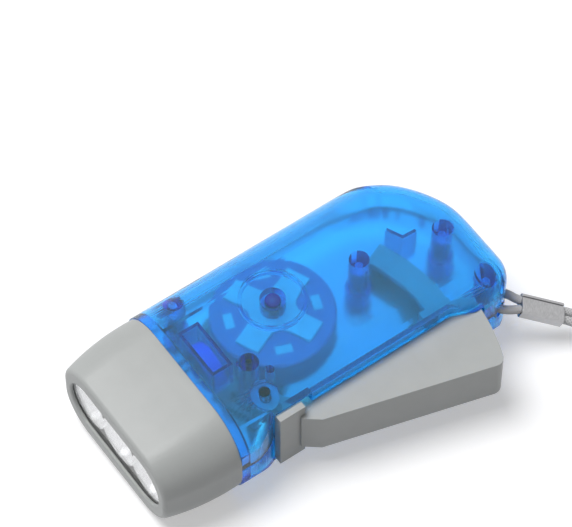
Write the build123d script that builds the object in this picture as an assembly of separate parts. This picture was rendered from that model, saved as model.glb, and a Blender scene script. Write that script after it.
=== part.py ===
from build123d import *
import math
import os

# Hand-press dynamo torch, in millimetres.
# Frame: the lens faces -Y, the tail points to +Y, the squeeze lever is on +X and +Z is up.
# The torch lies on its flat side. The origin is on the rest face, on the head's centre line,
# half way between the lens rim and the tail.

# ---- casing: two translucent half shells that meet at mid height
casing_height = 29.5
wall = 1.8
casing_half_width = 26.0
long_edge_round = 13.0
tail_edge_round = 7.5
head_half_width = 25.4
tail_y = 54.6
tail_corner_x = 25.2
tail_corner_round = 9.0
seam_y = -33.0
left_side = [(-24.3, -13.5), (-26.0, 3.0), (-25.7, 20.0), (-23.2, 36.5), (-15.5, 47.6), (-4.5, 53.6)]
tail_flat_x = 5.0
parting_groove = 0.3
parting_groove_depth = 0.35
mid_z = casing_height / 2
floor_z = wall
ceiling_z = casing_height - wall

# ---- recess in the casing's side, where the lever lies
recess_x = 21.9
recess_head_y = -20.9
recess_tail_y = 34.0
flare_reach = 9.0
shoulder_bulge = (24.8, -26.5)

# ---- head
head_length = 22.0
head_front_half_width = 22.6
head_front_half_height = 12.4
head_middle_half_width = 24.9
head_middle_half_height = 14.1
head_front_round = 10.0
head_wall = 2.0
head_rim = 1.0
window_half_width = 19.8
window_half_height = 8.1
window_round = 7.9
lens_half_width = 20.9
lens_half_height = 10.7
lens_round = 8.6
lens_thickness = 1.4
board_seat_depth = 7.0
board_thickness = 1.4
collar_clearance = 0.15
collar_wall = 1.5
collar_root = 3.0
reflector_skirt = 1.0
reflector_face = 1.0
cup_radius = 7.0
cup_depth = 7.8
cup_pitch = 13.2
led_radius = 2.5
led_flange_radius = 2.9
led_flange = 1.0
led_reach = 4.6
led_leg_radius = 0.3
led_leg_pitch = 2.54
part_clearance = 0.1
rectifier_x = 12.0
rectifier_width = 6.0
rectifier_depth = 2.4
spare = 1.0
far_out = 60.0

# ---- lever: a hollow moulding on a pin near the head
pivot = (16.0, -19.7)
squeeze_angle = 17.0
lever_height = 14.0
lever_side_clearance = 0.25
lever_wall = 2.0
lever_inner_x = 18.9
lever_knee = (27.9, -10.1)
lever_heel = (24.6, -14.3)
lever_tail = (41.7, 35.9)
lever_tail_radius = 62.5
lever_tail_gap = 0.8
lever_corner_round = 2.6
lever_pocket_start = 4.0
lever_pocket_corner = 68.0
web_inner_radius = 50.2
web_outer_radius = 56.8
web_angle = 113.0
lever_shoulder_angle = 87.5
barrel_radius = 3.7
pivot_pin_radius = 1.5
block_height = 21.0
block_outer_x = 24.0
block_lip_x = 21.4
block_head_y = -20.4
block_tail_y = -12.7
block_opening_tail_y = -9.2
stop_lug_height = 2.75
stop_lug_y = (27.0, 31.0)
stop_lug_depth = 2.2
stop_gap = 0.15

# ---- gears: teeth, modules and levels
sector_module = 0.6
sector_teeth = 42
drive_pinion_teeth = 10
drive_direction = 169.3
train_module = 0.5
first_wheel_teeth = 28
second_pinion_teeth = 12
second_wheel_teeth = 32
flywheel_pinion_teeth = 10
backlash = 0.14
sector_rim = 2.6
sector_bottom_z = 8.4
sector_thickness = 3.0
sector_window = (128.0, 194.0)
sector_arm_angle = 8.0
low_wheel_z = 3.7
high_wheel_z = 5.9
wheel_thickness = 1.6
gear_gap = 0.3
pin_radius = 0.8
running_clearance = 0.05
ratchet_radius = 4.3
ratchet_teeth = 12
ratchet_depth = 0.6
pawl_count = 3
pawl_gap = 0.15

# ---- flywheel dynamo
flywheel_axis = (-5.4, -2.0)
flywheel_radius = 16.5
flywheel_bottom_z = 12.0
flywheel_top_z = 21.5
flywheel_disc = 1.6
flywheel_rim = 2.6
magnet_thickness = 2.2
air_gap = 0.5
hub_arm_reach = 13.0
hub_arm_width = 6.6
hub_arm_angle = 24.0
hub_round = 8.0
hub_thickness = 0.9
hub_window = (2.4, 4.4)
hub_window_radius = 11.6
hub_backing = 0.4
hub_backing_radius = 11.5
axle_radius = 1.0
bush_radius = 2.1
bush_length = 2.2
gear_plate_z = 8.4
gear_plate_thickness = 1.4
gear_plate_radius = 11.0
gear_plate_post_radius = 1.8
gear_plate_post_ring = 9.0
gear_plate_post_angles = (30.0, 120.0, 210.0)
claw_plate = 1.0
claw_count = 6
stator_bore = 2.2
bobbin_radius = 4.4
bobbin_wall = 0.8

# ---- screw posts: plan places, measured from the moulded circles on the upper shell
screw_posts = [(-2.3, 23.0), (2.3, 46.2), (18.9, 47.3), (-19.3, -22.9)]
upper_post_radius = 2.7
lower_post_radius = 3.4
screw_head_radius = 2.2
screw_head_height = 1.6
screw_radius = 1.1
screw_head_z = 6.0
screw_length = 16.0
post_gap = 0.1

# ---- ribs of the upper shell
bearing_ring_radius = 9.0
bearing_ring_height = 1.4
rib = 0.9
cell_frame_centre = (-3.0, -24.6)
cell_radius = 6.75
cell_thickness = 4.3
cell_centre_z = casing_height - 11.0
cell_frame_drop = 8.5
v_rib_corner = (-1.4, 36.2)
v_rib_ends = [(-5.9, 34.1), (-1.2, 40.2)]
v_rib_bottom_z = mid_z + 1.25

# ---- return spring: a torsion spring in a bay of the lever's barrel
spring_wire = 0.8
spring_radius = 3.0
spring_turns = 2.5
spring_pitch = 1.3
spring_bottom_z = 14.0
spring_leg = 6.0
spring_bay = (12.6, 18.9)
spring_post_radius = 1.2
spring_bay_margin = 0.4

# ---- wires inside the casing
wire_radius = 0.55
wire_gap = 0.12
coil_wire_exits = (200.0, 216.0)
coil_wire_routes = [
    [(-20.0, -14.0, 6.4), (-14.6, -21.5, 4.8), (-13.4, -30.0, 6.0), (-13.4, -34.6, 8.5)],
    [(-16.5, -16.5, 6.0), (-12.4, -22.5, 4.4), (-11.0, -30.5, 5.6), (-10.4, -34.8, 8.0)],
]
cell_lead_radius = 0.45
cell_lead_pitch = 5.0
cell_lead_drop = 2.2

# ---- wrist cord: a short loop round the tail's bar, a crimp and the long cord, coiled
cord_diameter = 2.4
cord_bar = (22.8, 50.9)
cord_bar_radius = 1.1
cord_slack = 0.25
cord_hole_height = 4.8
cord_bar_z = 15.2
crimp_heading = (6.6, 8.9, -4.4)
crimp_start = 5.0
crimp_length = 12.0
crimp_wall = 0.55
crimp_slit = 0.4
cord_pitch = 2.6
loop_meet_angle = 70.0
coil_centre_reach = 30.0
coil_outer_radius = 14.6
coil_spacing = 2.9
coil_whole_turns = 2
coil_floor_z = 1.8
strand_first_run = 6.5
strand_level_run = 9.0
tie_thickness = 0.5
tie_width = 5.0
tie_gap = 0.08


def rod(at, radius, low, high):
    """An upright round bar at a plan point, between two heights."""
    solid = Cylinder(radius, high - low, align=(Align.CENTER, Align.CENTER, Align.MIN))
    return Pos(at[0], at[1], low) * solid


def block(low, high):
    """A box between two opposite corners."""
    size = [high[axis] - low[axis] for axis in range(3)]
    corner = (Align.MIN, Align.MIN, Align.MIN)
    return Pos(*low) * Box(*size, align=corner)


def prism(points, low, high):
    """A closed plan outline of straight sides, raised between two heights."""
    outline = make_face(Polyline(*points, close=True))
    return Pos(0, 0, low) * extrude(outline, high - low)


def polar(centre, radius, degrees):
    """A plan point at a radius and a direction from a centre."""
    turn = math.radians(degrees)
    return (centre[0] + radius * math.cos(turn), centre[1] + radius * math.sin(turn))


def arc_points(centre, radius, first, last, steps):
    """Plan points along an arc."""
    span = last - first
    return [polar(centre, radius, first + span * step / steps) for step in range(steps + 1)]


def upright_section(half_width, half_height, corner, first_y, last_y):
    """A rounded rectangle that stands across the torch, drawn out along Y."""
    facing = Plane(origin=(0, first_y, mid_z), x_dir=(1, 0, 0), z_dir=(0, 1, 0))
    outline = facing * RectangleRounded(2 * half_width, 2 * half_height, corner)
    return extrude(outline, last_y - first_y, dir=(0, 1, 0))


# ---------------------------------------------------------------- casing
def left_edge(inset):
    """The casing's left side and tail curve, moved inwards by the inset."""
    points = [(-head_half_width, seam_y)] + left_side + [(tail_flat_x, tail_y)]
    outer = Spline(*points, tangents=[(0, 1), (1, 0)])
    stations = 12
    moved = []
    for station in range(stations + 1):
        place = outer.position_at(station / stations)
        way = outer.tangent_at(station / stations)
        moved.append((place.X + inset * way.Y, place.Y - inset * way.X))
    return Spline(*moved, tangents=[(0, 1), (1, 0)])


def plan_outline(inset):
    """The casing's plan, run on past the head seam so that the seam can be cut square."""
    front_y = seam_y - head_length + inset
    left_x = inset - head_half_width
    right_x = tail_corner_x - inset
    end_y = tail_y - inset
    corner = (tail_corner_x - tail_corner_round, tail_y - tail_corner_round)
    bend = tail_corner_round - inset
    edges = [
        Line((left_x, front_y), (left_x, seam_y)),
        left_edge(inset),
        Line((tail_flat_x, end_y), (corner[0], end_y)),
        ThreePointArc((corner[0], end_y), polar(corner, bend, 45), (right_x, corner[1])),
        Line((right_x, corner[1]), (right_x, front_y)),
        Line((right_x, front_y), (left_x, front_y)),
    ]
    return make_face(Wire(edges))


def recess_form(grow):
    """The side recess as a solid that reaches outwards, enlarged by the wall for the cavity."""
    far = recess_x + 3 * flare_reach
    near = recess_x - grow
    slope = (tail_corner_x - recess_x) / (flare_reach - 1.5)
    flare = Vector(slope, 1).normalized()
    flare_start = (near, recess_tail_y + grow * (1 - flare.Y) / flare.X)
    flare_end = (
        recess_x + slope * flare_reach - grow * flare.Y,
        recess_tail_y + flare_reach + grow * flare.X,
    )
    shoulder = ThreePointArc((head_half_width, seam_y), shoulder_bulge, (recess_x, recess_head_y))
    moved = []
    for share in (0, 0.5, 1):
        place = shoulder.position_at(share)
        way = shoulder.tangent_at(share)
        moved.append((place.X - grow * way.Y, place.Y + grow * way.X))
    head_corner = (near, moved[2][1] - (moved[2][0] - near) * way.Y / way.X)
    edges = [
        ThreePointArc(*moved),
        Line(head_corner, flare_start),
        Line(flare_start, flare_end),
        Line(flare_end, (far, flare_end[1])),
        Line((far, flare_end[1]), (far, moved[0][1])),
        Line((far, moved[0][1]), moved[0]),
    ]
    if grow:
        edges.append(Line(moved[2], head_corner))
    return extrude(make_face(Wire(edges)), casing_height)


def casing_form(inset):
    """The casing's outer form, or the cavity inside a wall of the given thickness."""
    upright = Pos(0, 0, inset) * extrude(plan_outline(inset), casing_height - 2 * inset)
    flat_edges = upright.edges().filter_by(lambda edge: abs(edge.tangent_at(0.5).Z) < 0.01)
    tail_edges = flat_edges.filter_by(lambda edge: edge.center().Y > seam_y - 1)
    upright = fillet(tail_edges, tail_edge_round - inset)
    lengthwise = upright_section(
        casing_half_width - inset,
        mid_z - inset,
        long_edge_round - inset,
        seam_y - head_length,
        tail_y + 5,
    )
    return (upright & lengthwise) - recess_form(inset)


def slot_cut():
    """The opening in the casing's side that the lever swings through."""
    clear_height = lever_height / 2 + lever_side_clearance
    reach = lever_tail_radius + lever_tail_gap
    inside_x = recess_x - 2 * wall
    outside_x = tail_corner_x + 5
    start = math.degrees(math.acos((outside_x - pivot[0]) / reach))
    end = math.degrees(math.acos((inside_x - pivot[0]) / reach))
    sweep_end = arc_points(pivot, reach, start, end, 2)
    edges = [
        Line((inside_x, block_tail_y), (outside_x, block_tail_y)),
        Line((outside_x, block_tail_y), sweep_end[0]),
        ThreePointArc(*sweep_end),
        Line(sweep_end[2], (inside_x, block_tail_y)),
    ]
    swing = Pos(0, 0, mid_z - clear_height) * extrude(make_face(Wire(edges)), 2 * clear_height)
    clear_block = block_height / 2 + lever_side_clearance
    knuckle = block(
        (inside_x, recess_head_y + lever_side_clearance, mid_z - clear_block),
        (outside_x, block_opening_tail_y, mid_z + clear_block),
    )
    return swing + knuckle


def casing_shell():
    """The whole hollow casing, before it is parted into two halves."""
    hollow = casing_form(0) - casing_form(wall)
    rear = block((-far_out, seam_y, -spare), (far_out, far_out, casing_height + spare))
    skin = casing_form(0) - casing_form(parting_groove_depth)
    groove = block(
        (-far_out, seam_y, mid_z - parting_groove / 2),
        (far_out, far_out, mid_z + parting_groove / 2),
    )
    return (hollow & rear) - (skin & groove) - slot_cut()


def collar():
    """The sleeve on the casing's front that plugs into the head."""
    outer = head_wall + collar_clearance
    inner = outer + collar_wall
    front_y = seam_y - board_seat_depth + board_thickness
    sleeve = upright_section(
        head_half_width - outer, mid_z - outer, long_edge_round - outer, front_y, seam_y + collar_root
    )
    root = upright_section(
        head_half_width - wall / 2, mid_z - wall / 2, long_edge_round - wall / 2, seam_y, seam_y + collar_root
    )
    bore = upright_section(
        head_half_width - inner, mid_z - inner, long_edge_round - inner, front_y - 1, seam_y + collar_root + 1
    )
    return (sleeve + root) - bore


def cord_hole():
    """The opening at the tail corner round the bar that the wrist cord is looped on."""
    reach = cord_bar_radius + cord_slack + cord_diameter + cord_slack
    low = cord_bar_z - cord_hole_height / 2
    high = cord_bar_z + cord_hole_height / 2
    return rod(cord_bar, reach, low, high) - rod(cord_bar, cord_bar_radius, low - 1, high + 1)


def upper_shell():
    """Upper half of the casing, with its posts, bearing ring, cell frame and rib."""
    outer = casing_form(0)
    half = block((-far_out, -far_out, mid_z), (far_out, far_out, casing_height + spare))
    shell = (casing_shell() + collar()) & half
    posts = [rod(at, upper_post_radius, mid_z + post_gap, ceiling_z + wall / 2) for at in screw_posts]
    posts.append(rod(drive_axis, upper_post_radius, drive_top_z + gear_gap, ceiling_z + wall / 2))
    posts.append(rod(pivot, barrel_radius, mid_z + block_height / 2 + gear_gap, ceiling_z + wall / 2))
    posts.append(rod(flywheel_axis, bush_radius + 1.3, upper_bush_z, ceiling_z + wall / 2))
    posts.append(rod(spring_post, spring_post_radius, spring_bay[0], ceiling_z + wall / 2))
    ring_low = ceiling_z - bearing_ring_height
    ring = rod(flywheel_axis, bearing_ring_radius, ring_low, ceiling_z + wall / 2)
    ring = ring - rod(flywheel_axis, bearing_ring_radius - rib, ring_low - 1, ceiling_z)
    for post in posts + [ring, cell_frame(), v_rib()]:
        shell = shell + (post & outer)
    holes = [rod(at, screw_radius, mid_z, screw_head_z + screw_length + 1) for at in screw_posts]
    holes.append(rod(drive_axis, pin_radius, mid_z - 5, pin_top_z))
    holes.append(rod(pivot, pivot_pin_radius, mid_z, pin_top_z))
    holes.append(rod(flywheel_axis, bush_radius, upper_bush_z - 1, upper_bush_z + bush_length))
    holes.append(rod(flywheel_axis, axle_radius + 0.3, upper_bush_z, axle_top_z + 0.3))
    for hole in holes + [cord_hole()]:
        shell = shell - hole
    return shell


def cell_frame():
    """The rib frame that hangs from the upper shell round the storage cell."""
    half_x = cell_radius + part_clearance
    half_y = cell_thickness / 2 + part_clearance
    x, y = cell_frame_centre
    low = ceiling_z - cell_frame_drop
    outside = block(
        (x - half_x - rib, y - half_y - rib, low),
        (x + half_x + rib, y + half_y + rib, casing_height),
    )
    inside = block((x - half_x, y - half_y, low - spare), (x + half_x, y + half_y, ceiling_z))
    return outside - inside


def v_rib():
    """Two stiffening fins in a V, hanging from the upper shell near the tail."""
    fins = None
    for end in v_rib_ends:
        run = Vector(end[0] - v_rib_corner[0], end[1] - v_rib_corner[1])
        heading = math.degrees(math.atan2(run.Y, run.X))
        fin = Box(run.length, rib, casing_height - v_rib_bottom_z, align=(Align.MIN, Align.CENTER, Align.MIN))
        fin = Pos(v_rib_corner[0], v_rib_corner[1], v_rib_bottom_z) * Rot(0, 0, heading) * fin
        fins = fin if fins is None else fins + fin
    return fins + rod(v_rib_corner, rib / 2, v_rib_bottom_z, casing_height)


def lower_shell():
    """Lower half of the casing, with its screw posts, axle seats and gear plate posts."""
    outer = casing_form(0)
    half = block((-far_out, -far_out, -spare), (far_out, far_out, mid_z))
    shell = (casing_shell() + collar()) & half
    low = floor_z - wall / 2
    posts = [rod(at, lower_post_radius, low, mid_z) for at in screw_posts]
    posts.append(rod(pivot, pivot_pin_radius + 1.2, low, high_wheel_z - gear_gap))
    posts.append(rod(drive_axis, pin_radius + 1.4, low, low_wheel_z - gear_gap))
    posts.append(rod(second_axis, pin_radius + 1.4, low, low_wheel_z - gear_gap))
    posts.append(rod(flywheel_axis, bush_radius + 1.3, low, lower_bush_z + bush_length))
    for angle in gear_plate_post_angles:
        place = polar(flywheel_axis, gear_plate_post_ring, angle)
        posts.append(rod(place, gear_plate_post_radius, low, gear_plate_z))
    for post in posts:
        shell = shell + (post & outer)
    holes = [rod(at, screw_radius + 0.15, 0, mid_z) for at in screw_posts]
    holes += [rod(at, screw_head_radius + 0.3, -1, screw_head_z) for at in screw_posts]
    holes.append(rod(drive_axis, pin_radius, pin_low_z, mid_z))
    holes.append(rod(second_axis, pin_radius, pin_low_z, mid_z))
    holes.append(rod(pivot, pivot_pin_radius, pin_low_z, mid_z))
    holes.append(rod(flywheel_axis, bush_radius, lower_bush_z, mid_z))
    for hole in holes + [cord_hole()]:
        shell = shell - hole
    return shell


# ---------------------------------------------------------------- head
def head_bezel():
    """Grey head: a tapering sleeve whose rim frames the window."""
    stations = [
        (seam_y, head_half_width, mid_z, long_edge_round - 0.4),
        (seam_y - head_length / 2, head_middle_half_width, head_middle_half_height, long_edge_round - 1.4),
        (seam_y - head_length, head_front_half_width, head_front_half_height, head_front_round),
    ]
    faces = []
    for y, half_width, half_height, corner in stations:
        facing = Plane(origin=(0, y, mid_z), x_dir=(1, 0, 0), z_dir=(0, 1, 0))
        faces.append(facing * RectangleRounded(2 * half_width, 2 * half_height, corner))
    form = loft(faces)
    rim_y = seam_y - head_length
    outer_rim = form.edges().filter_by(lambda edge: abs(edge.center().Y - rim_y) < 0.01)
    form = fillet(outer_rim, 1.4)
    wide = upright_section(
        head_half_width - head_wall, mid_z - head_wall, long_edge_round - head_wall,
        seam_y - board_seat_depth, seam_y + 1,
    )
    lens_pocket = upright_section(
        lens_half_width + part_clearance, lens_half_height + part_clearance, lens_round + part_clearance,
        rim_y + head_rim, seam_y - board_seat_depth + 1,
    )
    window = upright_section(
        window_half_width, window_half_height, window_round,
        rim_y - spare, rim_y + head_rim + spare,
    )
    form = form - wide - lens_pocket - window
    lip = form.edges().filter_by(lambda edge: abs(edge.center().Y - rim_y) < 0.01)
    return fillet(lip, 0.6)


def front_lens():
    """Clear window plate, seated behind the head's rim."""
    front_y = seam_y - head_length + head_rim
    return upright_section(lens_half_width, lens_half_height, lens_round, front_y, front_y + lens_thickness)


def cup(x):
    """One reflector cup as a solid of revolution, from the mouth back to the lamp's hole."""
    front_y = reflector_front_y
    mouth = cup_radius
    neck = led_radius + part_clearance
    depth = cup_depth
    curve = [(neck, depth), (neck, depth - 0.6), (mouth * 0.78, depth * 0.52), (mouth, 0)]
    profile = make_face(
        Wire([
            Line((0, depth + 1), (neck, depth + 1)),
            Line((neck, depth + 1), curve[1]),
            ThreePointArc(curve[1], curve[2], curve[3]),
            Line(curve[3], (mouth, -1)),
            Line((mouth, -1), (0, -1)),
            Line((0, -1), (0, depth + 1)),
        ])
    )
    body = revolve(profile, Axis.Y)
    return Pos(x, front_y, mid_z) * body


def reflector():
    """Moulded triple reflector with a skirt that runs back to the lamp board."""
    back_y = seam_y - board_seat_depth
    skirt = upright_section(
        lens_half_width, lens_half_height, lens_round, reflector_front_y, back_y
    )
    hollow = upright_section(
        lens_half_width - reflector_skirt, lens_half_height - reflector_skirt, lens_round - reflector_skirt,
        reflector_front_y + cup_depth, back_y + spare,
    )
    form = skirt - hollow
    for place in lamp_places:
        form = form - cup(place)
    return form


def lamp(x):
    """A 5 mm lamp with its dome, flange and two legs."""
    flange_y = reflector_front_y + cup_depth
    facing = Rot(90, 0, 0)
    flange = Cylinder(led_flange_radius, led_flange, align=(Align.CENTER, Align.CENTER, Align.MAX))
    barrel = Cylinder(led_radius, led_reach - led_radius, align=(Align.CENTER, Align.CENTER, Align.MIN))
    dome = Pos(0, 0, led_reach - led_radius) * Sphere(led_radius)
    body = flange + barrel + dome
    for side in (-1, 1):
        leg_length = seam_y - board_seat_depth - flange_y
        leg = Cylinder(led_leg_radius, leg_length, align=(Align.CENTER, Align.CENTER, Align.MAX))
        body = body + Pos(side * led_leg_pitch / 2, 0, 0) * leg
    return Pos(x, flange_y, mid_z) * facing * body


def lamp_board():
    """The board that carries the lamps, held between the head's step and the collar."""
    back_y = seam_y - board_seat_depth
    inset = head_wall + 0.5
    return upright_section(
        head_half_width - inset, mid_z - inset, long_edge_round - inset, back_y, back_y + board_thickness
    )


def rectifier():
    """The small bridge rectifier on the back of the lamp board."""
    board_back = seam_y - board_seat_depth + board_thickness
    half = rectifier_width / 2
    body = block(
        (rectifier_x - half, board_back, mid_z - half),
        (rectifier_x + half, board_back + rectifier_depth, mid_z + half),
    )
    return chamfer(body.faces().sort_by(Axis.Y)[-1].edges(), 0.4)


def storage_cell():
    """The round storage capacitor, on edge in the upper shell's rib frame."""
    x, y = cell_frame_centre
    can = Cylinder(cell_radius, cell_thickness)
    can = fillet(can.edges(), 0.5)
    return Pos(x, y, cell_centre_z) * Rot(90, 0, 0) * can


# ---------------------------------------------------------------- lever
def lever_plan():
    """The lever's plan at rest: outer edge, tail arc, web and inner edge."""
    tail_turn = math.degrees(math.atan2(lever_tail[1] - pivot[1], lever_tail[0] - pivot[0]))
    corner_turn = tail_turn + 1.0
    tail_start = polar(pivot, lever_tail_radius, corner_turn)
    inner_turn = math.degrees(math.acos((lever_inner_x - pivot[0]) / web_inner_radius))
    middle_tail = polar(pivot, lever_tail_radius, (corner_turn + lever_shoulder_angle) / 2)
    middle_web = (lever_shoulder_angle + web_angle) / 2
    middle_inner = (web_angle + inner_turn) / 2
    edges = [
        Line((lever_inner_x, block_tail_y + 0.5), lever_heel),
        Line(lever_heel, lever_knee),
        Line(lever_knee, tail_start),
        ThreePointArc(tail_start, middle_tail, polar(pivot, lever_tail_radius, lever_shoulder_angle)),
        Line(
            polar(pivot, lever_tail_radius, lever_shoulder_angle),
            polar(pivot, web_outer_radius, lever_shoulder_angle),
        ),
        ThreePointArc(
            polar(pivot, web_outer_radius, lever_shoulder_angle),
            polar(pivot, web_outer_radius, middle_web),
            polar(pivot, web_outer_radius, web_angle),
        ),
        Line(polar(pivot, web_outer_radius, web_angle), polar(pivot, web_inner_radius, web_angle)),
        ThreePointArc(
            polar(pivot, web_inner_radius, web_angle),
            polar(pivot, web_inner_radius, middle_inner),
            polar(pivot, web_inner_radius, inner_turn),
        ),
        Line(polar(pivot, web_inner_radius, inner_turn), (lever_inner_x, block_tail_y + 0.5)),
    ]
    return make_face(Wire(edges)), tail_start


def lever_pocket():
    """The hollow inside the lever, open towards the casing."""
    inner = lever_wall
    run = Vector(lever_tail[0] - lever_knee[0], lever_tail[1] - lever_knee[1]).normalized()
    side = Vector(-run.Y, run.X)
    knee = Vector(*lever_knee) + side * inner
    tail_radius = lever_tail_radius - inner
    far = polar(pivot, tail_radius, lever_pocket_corner)
    open_x = lever_inner_x - spare
    low_y = block_tail_y + lever_pocket_start
    start = knee + run * ((low_y - knee.Y) / run.Y)
    meet = knee + run * ((far[1] - knee.Y) / run.Y)
    points = [(open_x, low_y), (start.X, start.Y), (meet.X, meet.Y)]
    points += arc_points(pivot, tail_radius, lever_pocket_corner + 1, lever_shoulder_angle - 2, 6)
    points += [polar(pivot, web_outer_radius - inner, lever_shoulder_angle - 2)]
    points += arc_points(pivot, web_outer_radius - inner, lever_shoulder_angle, web_angle - 2, 6)
    points += [polar(pivot, web_inner_radius - 1, web_angle - 2)]
    points += [polar(pivot, web_inner_radius - 1, lever_shoulder_angle + 4)]
    return points


def lever():
    """Squeeze lever: wedge, web, hinge block, barrel, stop lugs and internal sector gear."""
    low = mid_z - lever_height / 2
    high = mid_z + lever_height / 2
    plan, tail_start = lever_plan()
    body = Pos(0, 0, low) * extrude(plan, lever_height)
    corner = body.edges().filter_by(Axis.Z).sort_by_distance((tail_start[0], tail_start[1], mid_z))[0]
    body = fillet(corner, lever_corner_round)
    body = body - prism(lever_pocket(), low + lever_wall, high - lever_wall)
    block_low = mid_z - block_height / 2
    block_high = mid_z + block_height / 2
    lip = block((block_lip_x, block_head_y, block_low), (block_outer_x, block_tail_y, block_high))
    neck = prism(
        [
            (pivot[0], block_head_y),
            (block_outer_x, block_head_y),
            (block_outer_x, block_tail_y),
            (lever_inner_x, block_tail_y + 0.5),
            (pivot[0] - 2.0, pivot[1] + barrel_radius - 0.7),
        ],
        low,
        high,
    )
    barrel = rod(pivot, barrel_radius, low, block_high)
    body = body + neck + lip + barrel + sector_plate() + stop_lugs() - spring_bay_cut()
    return body - rod(pivot, pivot_pin_radius + running_clearance, 0, casing_height)


def spring_bay_cut():
    """Room for the return spring in the barrel, with a slot that its upper leg bears on."""
    bay = rod(pivot, barrel_radius + spring_bay_margin, spring_bay[0], spring_bay[1])
    leg_z = spring_bottom_z + spring_pitch * spring_turns
    leg_x = pivot[0] + spring_radius
    slot = block(
        (leg_x - 2.0, pivot[1], leg_z - spring_wire),
        (leg_x + spring_wire / 2 + 0.05, pivot[1] + spring_leg + 0.5, leg_z + 1.2 * spring_wire),
    )
    return bay + slot


def stop_lugs():
    """Lugs that meet the inside of the casing wall and end the lever's outward swing."""
    outer_x = recess_x - wall - stop_gap
    low = mid_z - lever_height / 2
    high = mid_z + lever_height / 2
    lug = block(
        (outer_x - stop_lug_depth, stop_lug_y[0], low - stop_lug_height),
        (outer_x, stop_lug_y[1], high + stop_lug_height),
    )
    hollow = block(
        (outer_x - stop_lug_depth - spare, stop_lug_y[0] - spare, low + lever_wall),
        (outer_x + spare, stop_lug_y[1] + spare, high - lever_wall),
    )
    return lug - hollow


def sector_plate():
    """The internal sector gear on the lever's barrel, round the drive pinion."""
    rim = sector_pitch_radius + 1.25 * sector_module + sector_rim
    top = sector_bottom_z + sector_thickness
    first = sector_window[0] - sector_arm_angle
    last = sector_window[1] + sector_arm_angle
    outline = [pivot] + arc_points(pivot, rim, first, last, 24)
    plate = prism(outline, sector_bottom_z, top)
    window = [polar(pivot, 0.5, sector_window[0])]
    window += arc_points(pivot, rim - sector_rim - 0.2, sector_window[0], sector_window[1], 24)
    opening = prism(window, sector_bottom_z - spare, top + spare)
    teeth = gear_points(pivot, sector_module, sector_teeth, drive_direction, -backlash)
    return plate - (opening & prism(teeth, sector_bottom_z - spare, top + spare))


def pivot_pin():
    """Steel pin that the lever swings on, held in both shells."""
    return rod(pivot, pivot_pin_radius, pin_low_z, pin_top_z)


# ---------------------------------------------------------------- gears
def involute(angle):
    """The involute function of a pressure angle in radians."""
    return math.tan(angle) - angle


def gear_points(centre, module, teeth, phase, play):
    """Outline of a spur gear with one tooth centred on the phase direction.

    Play thins the teeth. A negative play widens them, for cutting an internal gear."""
    pitch = module * teeth / 2
    pressure = math.radians(20)
    base = pitch * math.cos(pressure)
    tip = pitch + module * (0.9 if play > 0 else 1.25)
    root = pitch - module * (1.25 if play > 0 else 0.85)
    half = math.pi / (2 * teeth) - play / (2 * pitch)
    lowest = max(base, root)
    radii = [lowest + (tip - lowest) * step / 3 for step in range(4)]
    flank = [(radius, half + involute(pressure) - involute(math.acos(base / radius))) for radius in radii]
    foot = (root, min(flank[0][1] * (0.8 if root < base else 1.0), 0.92 * math.pi / teeth))
    side = [foot] + flank if root < base else flank
    points = []
    for tooth in range(teeth):
        middle = math.radians(phase) + 2 * math.pi * tooth / teeth
        for radius, spread in side:
            points.append(polar(centre, radius, math.degrees(middle - spread)))
        for radius, spread in reversed(side):
            points.append(polar(centre, radius, math.degrees(middle + spread)))
    return points


def gear(centre, module, teeth, phase, low, high):
    """A plain spur gear."""
    return prism(gear_points(centre, module, teeth, phase, backlash), low, high)


def drive_pinion():
    """The pinion that the lever turns, with the pawl arms of the one-way clutch below it."""
    low = clutch_floor_z + part_clearance
    deck = sector_bottom_z - 0.2
    teeth = gear(drive_axis, sector_module, drive_pinion_teeth, drive_direction, deck, drive_top_z)
    hub = rod(drive_axis, 2.0, low, deck)
    body = teeth + hub
    tip = ratchet_radius - pawl_gap
    for pawl in range(pawl_count):
        turn = 360 * pawl / pawl_count
        arm = [
            polar(drive_axis, 1.8, turn - 20),
            polar(drive_axis, 1.8, turn + 15),
            polar(drive_axis, tip - 0.3, turn + 62),
            polar(drive_axis, tip, turn + 48),
            polar(drive_axis, tip - 1.1, turn + 20),
        ]
        body = body + prism(arm, low, deck - 0.3)
    return body - rod(drive_axis, pin_radius + running_clearance, 0, casing_height)


def first_wheel():
    """The clutch wheel: a saw-toothed cup that the pawls drive one way, with gear teeth round it."""
    low = high_wheel_z
    body = gear(drive_axis, train_module, first_wheel_teeth, train_heading, low, low + wheel_thickness)
    cup_wall = rod(drive_axis, ratchet_radius + ratchet_depth + 0.7, low, clutch_top_z)
    body = body + cup_wall + rod(drive_axis, 1.35, low_wheel_z, low)
    saw = []
    for tooth in range(ratchet_teeth):
        turn = 360 * tooth / ratchet_teeth
        saw.append(polar(drive_axis, ratchet_radius, turn))
        saw.append(polar(drive_axis, ratchet_radius + ratchet_depth, turn + 360 / ratchet_teeth - 1))
    body = body - prism(saw, clutch_floor_z, clutch_top_z + 1)
    return body - rod(drive_axis, pin_radius + running_clearance, 0, casing_height)


def second_gear():
    """Compound gear: small pinion above, large wheel below."""
    wheel = gear(
        second_axis, train_module, second_wheel_teeth, second_wheel_phase,
        low_wheel_z, low_wheel_z + wheel_thickness,
    )
    pinion = gear(
        second_axis, train_module, second_pinion_teeth, second_pinion_phase,
        low_wheel_z + wheel_thickness, gear_plate_z - gear_gap,
    )
    return wheel + pinion - rod(second_axis, pin_radius + running_clearance, 0, casing_height)


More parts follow.
